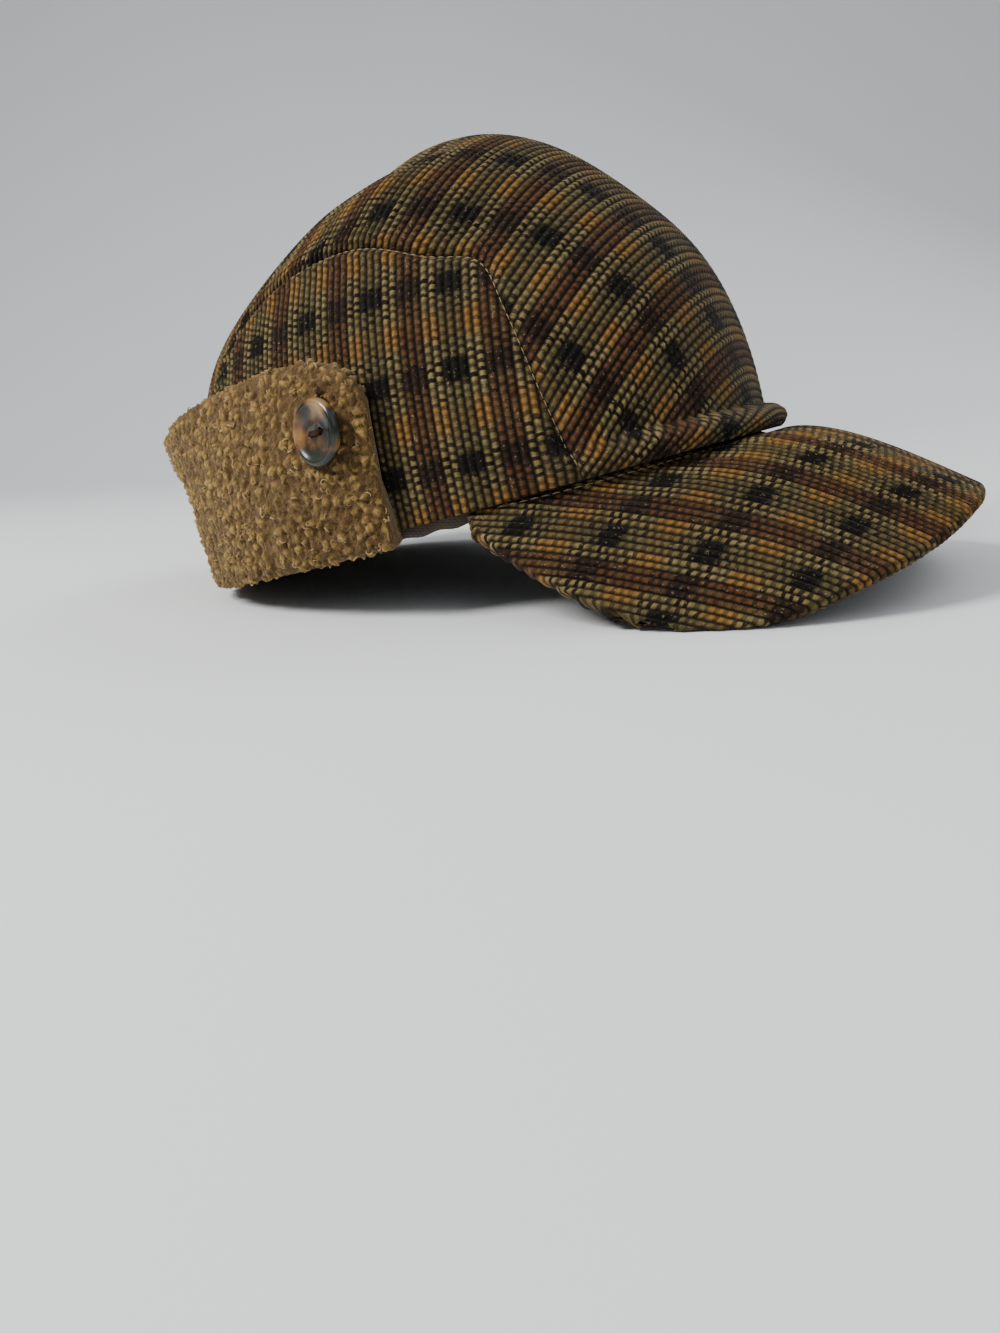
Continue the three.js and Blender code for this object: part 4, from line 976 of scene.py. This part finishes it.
# Seam stitches.
# Short pale stitches of sewing thread that show in the dip of the two crown seams and along the joint
# between crown and peak.


def repeated(name, shape, places, finish):
    """One mesh with a copy of shape's own mesh at each of the places, which are 4 by 4 matrices."""
    base = np.array([v.co for v in shape.data.vertices])
    faces = [tuple(f.vertices) for f in shape.data.polygons]
    bpy.data.objects.remove(shape, do_unlink=True)
    every = np.asarray(places)
    points = np.einsum("nij,vj->nvi", every[:, :3, :3], base) + every[:, None, :3, 3]
    mesh = bpy.data.meshes.new(name)
    count = len(base)
    mesh.from_pydata(points.reshape(-1, 3), [], [tuple(i + k * count for i in f) for k in range(len(every))
                                                 for f in faces])
    for f in mesh.polygons:
        f.use_smooth = True
    mesh.materials.append(finish)
    made = bpy.data.objects.new(name, mesh)
    bpy.context.collection.objects.link(made)
    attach(made, "root")
    return made


def short_stitch(length, thickness):
    """A stitch along X, fat in the middle and sunk at both ends."""
    bpy.ops.object.select_all(action="DESELECT")
    bpy.ops.mesh.primitive_cylinder_add(vertices=6, radius=thickness / 2000, depth=length / 1000,
                                        rotation=(0, math.pi / 2, 0))
    stitch = bpy.context.active_object
    bpy.ops.object.transform_apply(location=False, rotation=True, scale=False)
    bpy.ops.object.mode_set(mode="EDIT")
    bpy.ops.mesh.select_all(action="SELECT")
    bpy.ops.mesh.subdivide(number_cuts=1)
    bpy.ops.object.mode_set(mode="OBJECT")
    for v in stitch.data.vertices:
        end = abs(v.co.x) / (length / 2000)
        v.co.y *= 1 - 0.5 * end ** 2
        v.co.z = v.co.z * (1 - 0.5 * end ** 2) - 0.3 * thickness / 1000 * end ** 2
    return stitch


def stitches_along(path, out, spacing, lift):
    """Places for stitches along a row of points, with out pointing away from the cloth."""
    run = distances(path)
    at = np.arange(spacing / 2, run[-1], spacing)
    q = read_at(at, run, path)
    x = unit(read_at(at + 0.5, run, path) - q + 1e-6)
    z = unit(read_at(at, run, out))
    z = unit(z - x * np.sum(x * z, -1, keepdims=True))
    y = np.cross(z, x)
    origin, places = to_world(q + z * lift), np.zeros((len(at), 4, 4))
    turned = [to_world(q + axis) - to_world(q) for axis in (x, y, z)]
    for k in range(3):
        places[:, :3, k] = turned[k] * 1000
    places[:, :3, 3], places[:, 3, 3] = origin, 1
    return places


def sewing_thread(name, light, dark):
    """Twisted sewing thread."""
    thread = Finish(name, 0.75, Specular_IOR_Level=0.1)
    place = thread.places()
    twist = thread.node("ShaderNodeTexWave", {"bands_direction": "DIAGONAL"},
                        {"Vector": place, "Scale": 900.0})
    colour = thread.mix(twist * 0.7 + thread.noise(place, 200.0) * 0.3, dark, light)
    return thread.wear(colour, None, twist, 0.0001, 0.6)


pale_thread = sewing_thread("pale_thread", (0.34, 0.28, 0.17), (0.14, 0.105, 0.055))
dark_thread = sewing_thread("dark_thread", (0.07, 0.040, 0.02), (0.016, 0.009, 0.005))
seam_places = []
for side in (-1, 1):
    line = on_dome(crown_seam(side))[6:-6:4]
    level = rolled_hem(line)
    seam_places.append(stitches_along(level, unit(line), 2.6, -1.15))
repeated("crown_seam_stitches", short_stitch(1.9, 0.42), np.concatenate(seam_places), pale_thread)
across = np.linspace(-0.93, 0.93, 200)
joint = peak_point(across, np.full(across.shape, 0.035))
repeated("peak_joint_stitches", short_stitch(2.2, 0.45),
         stitches_along(joint, np.tile([0.3, 0, 1.0], (len(across), 1)), 3.1, 0.35), pale_thread)

# Buttonholes.
# Upright slits through the flap behind each button, overcast with dark thread, so that the flap can be
# undone and turned down.
BUTTON_TURN, BUTTON_TILT, BUTTON_HEIGHT, BUTTON_ROUND, BUTTON_LIFT = 17.0, 5.0, 31.0, 88.0, 0.7
SLIT_STITCHES, SLIT_HALF_WIDTH, SLIT_HALF_LENGTH = 64, 1.3, 11.6


def seat(side):
    """The button's place on the flap: X along the hem, Y up the flap, Z out of the cloth."""
    turn = np.array(math.radians(BUTTON_ROUND if side > 0 else 360 - BUTTON_ROUND))
    place = flap_point(turn, np.array(FLEECE_OUTSIDE + BUTTON_LIFT), np.array(BUTTON_HEIGHT))
    out = ring_outward(turn, np.array(BUTTON_HEIGHT))
    a, tilt = side * math.radians(BUTTON_TURN), math.radians(BUTTON_TILT)
    c, s = math.cos(a), math.sin(a)
    out = np.array([out[0] * c - out[1] * s, out[0] * s + out[1] * c, 0])
    out = out * math.cos(tilt) + np.array([0, 0, math.sin(tilt)])
    along = unit(np.cross([0, 0, 1.0], out))
    up = np.cross(out, along)
    matrix = np.eye(4)
    for k, axis in enumerate((along, up, out)):
        matrix[:3, k] = (to_world(place + axis) - to_world(place)) * 1000
    matrix[:3, 3] = to_world(place)
    return matrix


slit = []
for side in (-1, 1):
    base = seat(side)
    for k in range(SLIT_STITCHES):
        angle = 2 * math.pi * ((k + 0.5) / SLIT_STITCHES)
        x, y = SLIT_HALF_WIDTH * math.cos(angle), SLIT_HALF_LENGTH * math.sin(angle)
        local = np.eye(4)
        lean = math.atan2(y * 0.02 + math.sin(angle) * (abs(math.sin(angle)) > 0.93), x)
        local[:3, 0], local[:3, 1] = (math.cos(lean), math.sin(lean), 0), (-math.sin(lean), math.cos(lean), 0)
        local[:3, 3] = (x / 1000, y / 1000, 0.00025 * math.sin(k * 2.4) - 0.0013)
        slit.append(base @ local)
repeated("buttonhole_stitches", short_stitch(2.3, 0.55), slit, dark_thread)

# Buttons.
# A polished, dished two-hole button in mottled horn on each side. Dark thread through its two holes sews
# it to the crown through the slit in the flap.
BUTTON_RADIUS, HOLE_APART = 9.4, 4.2
# width and rise of each step from the edge inwards, over the rim into the dish, and over the back
TOP_STEPS = ((0.35, 0.75), (0.55, 0.38), (0.8, 0.0), (0.55, -0.35), (1.3, -0.55), (2.2, -0.2))
BACK_STEPS = ((0.6, -0.7), (1.4, -0.5), (3.2, -0.3))


def mottled_horn():
    """Translucent-looking horn, dark green-black with amber and olive clouds, under a high polish."""
    horn = Finish("mottled_horn", 0.22, Coat_Weight=0.2, Coat_Roughness=0.12, Specular_IOR_Level=0.35)
    place = horn.places()
    moved = horn.node("ShaderNodeMapping", {}, {"Vector": place, "Location": (0.013, 0.004, 0.021)})
    cloud = horn.noise(moved, 88.0, 2.0, 0.45)
    streak = horn.noise(moved, 330.0, 3.0, 0.6)
    colour = horn.node("ShaderNodeValToRGB", {"stops": (
        (0.42, (0.008, 0.009, 0.006)), (0.49, (0.060, 0.030, 0.010)), (0.56, (0.19, 0.090, 0.026)),
        (0.68, (0.27, 0.17, 0.075)),
    )}, {"Fac": cloud + (streak - 0.5) * 0.16})
    # painted shade: below a set height over the floor the disc is darkened to near-black, so its lower part
    # is dark
    height = horn.node("ShaderNodeSeparateXYZ", {}, {"Vector": place}, 2) + (streak - 0.5) * 0.004
    colour = horn.mix(1 - height.rise(0.0482, 0.0515), colour, (0.012, 0.014, 0.008))
    return horn.wear(colour, 0.18 + 0.14 * streak, streak, 0.00005, 0.2)


horn_finish = mottled_horn()

for word, side in (("right", -1), ("left", 1)):
    bpy.ops.object.select_all(action="DESELECT")
    bpy.ops.mesh.primitive_cylinder_add(vertices=64, radius=BUTTON_RADIUS / 1000, depth=0.0010,
                                        location=(0, 0, 0.0020))
    button = bpy.context.active_object
    button.name = button.data.name = f"horn_button_{word}"
    bpy.ops.object.transform_apply(location=True, rotation=False, scale=False)
    bpy.ops.object.mode_set(mode="EDIT")
    bpy.ops.mesh.select_mode(type="FACE")
    for facing_up in (True, False):
        bpy.ops.mesh.select_all(action="DESELECT")
        bpy.ops.object.mode_set(mode="OBJECT")
        for f in button.data.polygons:
            f.select = f.normal.z > 0.9 if facing_up else f.normal.z < -0.9
        bpy.ops.object.mode_set(mode="EDIT")
        for width, rise in TOP_STEPS if facing_up else BACK_STEPS:
            bpy.ops.mesh.inset(thickness=width / 1000, depth=0)
            bpy.ops.transform.translate(value=(0, 0, rise / 1000))
    bpy.ops.object.mode_set(mode="OBJECT")
    for x in (-1, 1):
        bpy.ops.mesh.primitive_cylinder_add(vertices=20, radius=0.00100, depth=0.012,
                                            location=(x * HOLE_APART / 2000, 0, 0.002))
        drill = bpy.context.active_object
        bpy.context.view_layer.objects.active = button
        hole = button.modifiers.new("hole", "BOOLEAN")
        hole.operation, hole.object, hole.solver = "DIFFERENCE", drill, "EXACT"
        bpy.ops.object.modifier_apply(modifier="hole")
        bpy.data.objects.remove(drill, do_unlink=True)
    soft = button.modifiers.new("soft_edges", "BEVEL")
    soft.width, soft.segments, soft.limit_method, soft.angle_limit = 0.00018, 2, "ANGLE", math.radians(28)
    bpy.ops.object.modifier_apply(modifier="soft_edges")
    bpy.ops.object.select_all(action="DESELECT")
    button.select_set(True)
    bpy.ops.object.shade_smooth_by_angle(angle=math.radians(50))
    button.data.materials.clear()
    button.data.materials.append(horn_finish)
    button.data.transform(mathutils.Matrix(seat(side).tolist()))
    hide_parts(f"button_{word}")
    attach(button, "root")

    # the sewing thread: four strands across the dish, and the shank that they share behind it
    strands = []
    for k in range(4):
        local = np.eye(4)
        local[:3, 3] = (0, (k - 1.5) * 0.00036, 0.00305 + 0.00012 * (k % 2))
        strands.append(seat(side) @ local)
    for x in (-1, 1):
        for k in range(3):
            local = np.eye(4)
            local[:3, 0], local[:3, 2] = (0, 0, 1), (-1, 0, 0)
            local[:3, 3] = (x * HOLE_APART / 2000 + (k - 1) * 0.00030, (k - 1) * 0.00025, 0.0012)
            strands.append(seat(side) @ local)
    thread = repeated(f"button_sewing_{word}", short_stitch(4.6, 0.5), strands, dark_thread)
    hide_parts(f"button_thread_{word}")

# Loose curls.
# Small single curls of the fleece's camel wool that stand out of the pile and give it its woolly outline.
# Each one is a short open hook rooted in the pile, and they lie every way.
CURL_COUNT, CURL_SEED = 2600, 7
rng = np.random.default_rng(CURL_SEED)
bpy.ops.object.select_all(action="DESELECT")
bpy.ops.mesh.primitive_torus_add(major_radius=0.00085, minor_radius=0.00019, major_segments=9,
                                 minor_segments=4)
curl = bpy.context.active_object
bpy.ops.object.mode_set(mode="EDIT")
bpy.ops.mesh.select_all(action="SELECT")
bpy.ops.mesh.bisect(plane_co=(0, -0.0003, 0), plane_no=(0, 1, 0), clear_inner=True, use_fill=True)
bpy.ops.object.mode_set(mode="OBJECT")
faces = [f for f in mesh.polygons if f.area > 0]
chance = np.array([f.area for f in faces])
centres = np.array([f.center for f in faces])
chosen = rng.choice(len(faces), CURL_COUNT, p=chance / chance.sum())
places = []
for i in chosen:
    normal = faces[i].normal
    if centres[i][2] < 0.002 or curls_face[faces[i].index] < 0.5:
        continue
    spin = mathutils.Matrix.Rotation(rng.uniform(0, 2 * math.pi), 4, "Z")
    lean = mathutils.Matrix.Rotation(rng.normal(math.pi / 2, 0.7), 4, "X")
    size = mathutils.Matrix.Scale(rng.uniform(0.6, 1.15), 4)
    upright = normal.to_track_quat("Z", "Y").to_matrix().to_4x4()
    place = mathutils.Matrix.Translation(mathutils.Vector(centres[i]) - normal * 0.0001)
    places.append(np.array(place @ upright @ spin @ lean @ size))
repeated("flap_loose_curls", curl, places, loose_wool)

# Camera, light and floor.
# The hat rests on a plain pale floor that rises softly behind it. A large soft light stands to the left of
# the view, with two weaker ones on the right and behind, in a pale room.
FLOOR_BEND, FLOOR_RISE, VIEW_TURN = 0.75, 0.9, math.radians(26.9)
bpy.ops.object.select_all(action="DESELECT")
bpy.ops.mesh.primitive_grid_add(x_subdivisions=60, y_subdivisions=60, size=6)
floor = bpy.context.active_object
floor.name = "floor"
for v in floor.data.vertices:
    x, y = v.co.x, v.co.y
    v.co.z = 0.0 if y < FLOOR_BEND else (y - FLOOR_BEND) ** 2 * FLOOR_RISE
    v.co.x = x * math.cos(VIEW_TURN) - y * math.sin(VIEW_TURN)
    v.co.y = x * math.sin(VIEW_TURN) + y * math.cos(VIEW_TURN)
for f in floor.data.polygons:
    f.use_smooth = True
paper = Finish("pale_paper", 0.9)
tone = paper.noise(paper.places(), 3.0, 2.0)
floor.data.materials.append(paper.wear(paper.mix(tone, (0.80, 0.815, 0.83), (0.84, 0.85, 0.86))))

bpy.ops.object.camera_add(location=(0.140373, -0.322799, 0.059283))
camera = bpy.context.active_object
camera.name = "photo_view"
camera.rotation_mode = "QUATERNION"
camera.rotation_quaternion = mathutils.Matrix((
    (0.89767, 0.43548, -0.06741), (-0.05338, 0.25931, 0.96432), (0.43742, -0.86204, 0.25602),
)).transposed().to_quaternion()
camera.data.sensor_fit = "VERTICAL"
camera.data.sensor_height = 36.0
camera.data.lens = 27.03
camera.data.clip_start = 0.01
bpy.context.scene.camera = camera


def soft_light(name, place, aim, size, power, colour):
    bpy.ops.object.light_add(type="AREA", location=place)
    lamp = bpy.context.active_object
    lamp.name = name
    lamp.data.size, lamp.data.energy, lamp.data.color = size, power, colour
    lamp.rotation_mode = "QUATERNION"
    lamp.rotation_quaternion = (mathutils.Vector(aim) - mathutils.Vector(place)).to_track_quat("-Z", "Y")


soft_light("window_light", (-0.55, -0.75, 0.85), (0, 0, 0.07), 0.45, 19.0, (1.0, 0.985, 0.96))
soft_light("room_light", (0.7, -0.5, 0.9), (0, 0, 0.05), 1.2, 3.5, (0.96, 0.98, 1.0))
soft_light("far_light", (0.5, 0.9, 0.8), (0.05, 0, 0.08), 0.8, 6.0, (1.0, 0.99, 0.97))
world = bpy.data.worlds.new("pale_room")
world.use_nodes = True
world.node_tree.nodes["Background"].inputs["Color"].default_value = (0.80, 0.84, 0.88, 1)
world.node_tree.nodes["Background"].inputs["Strength"].default_value = 0.46
bpy.context.scene.world = world
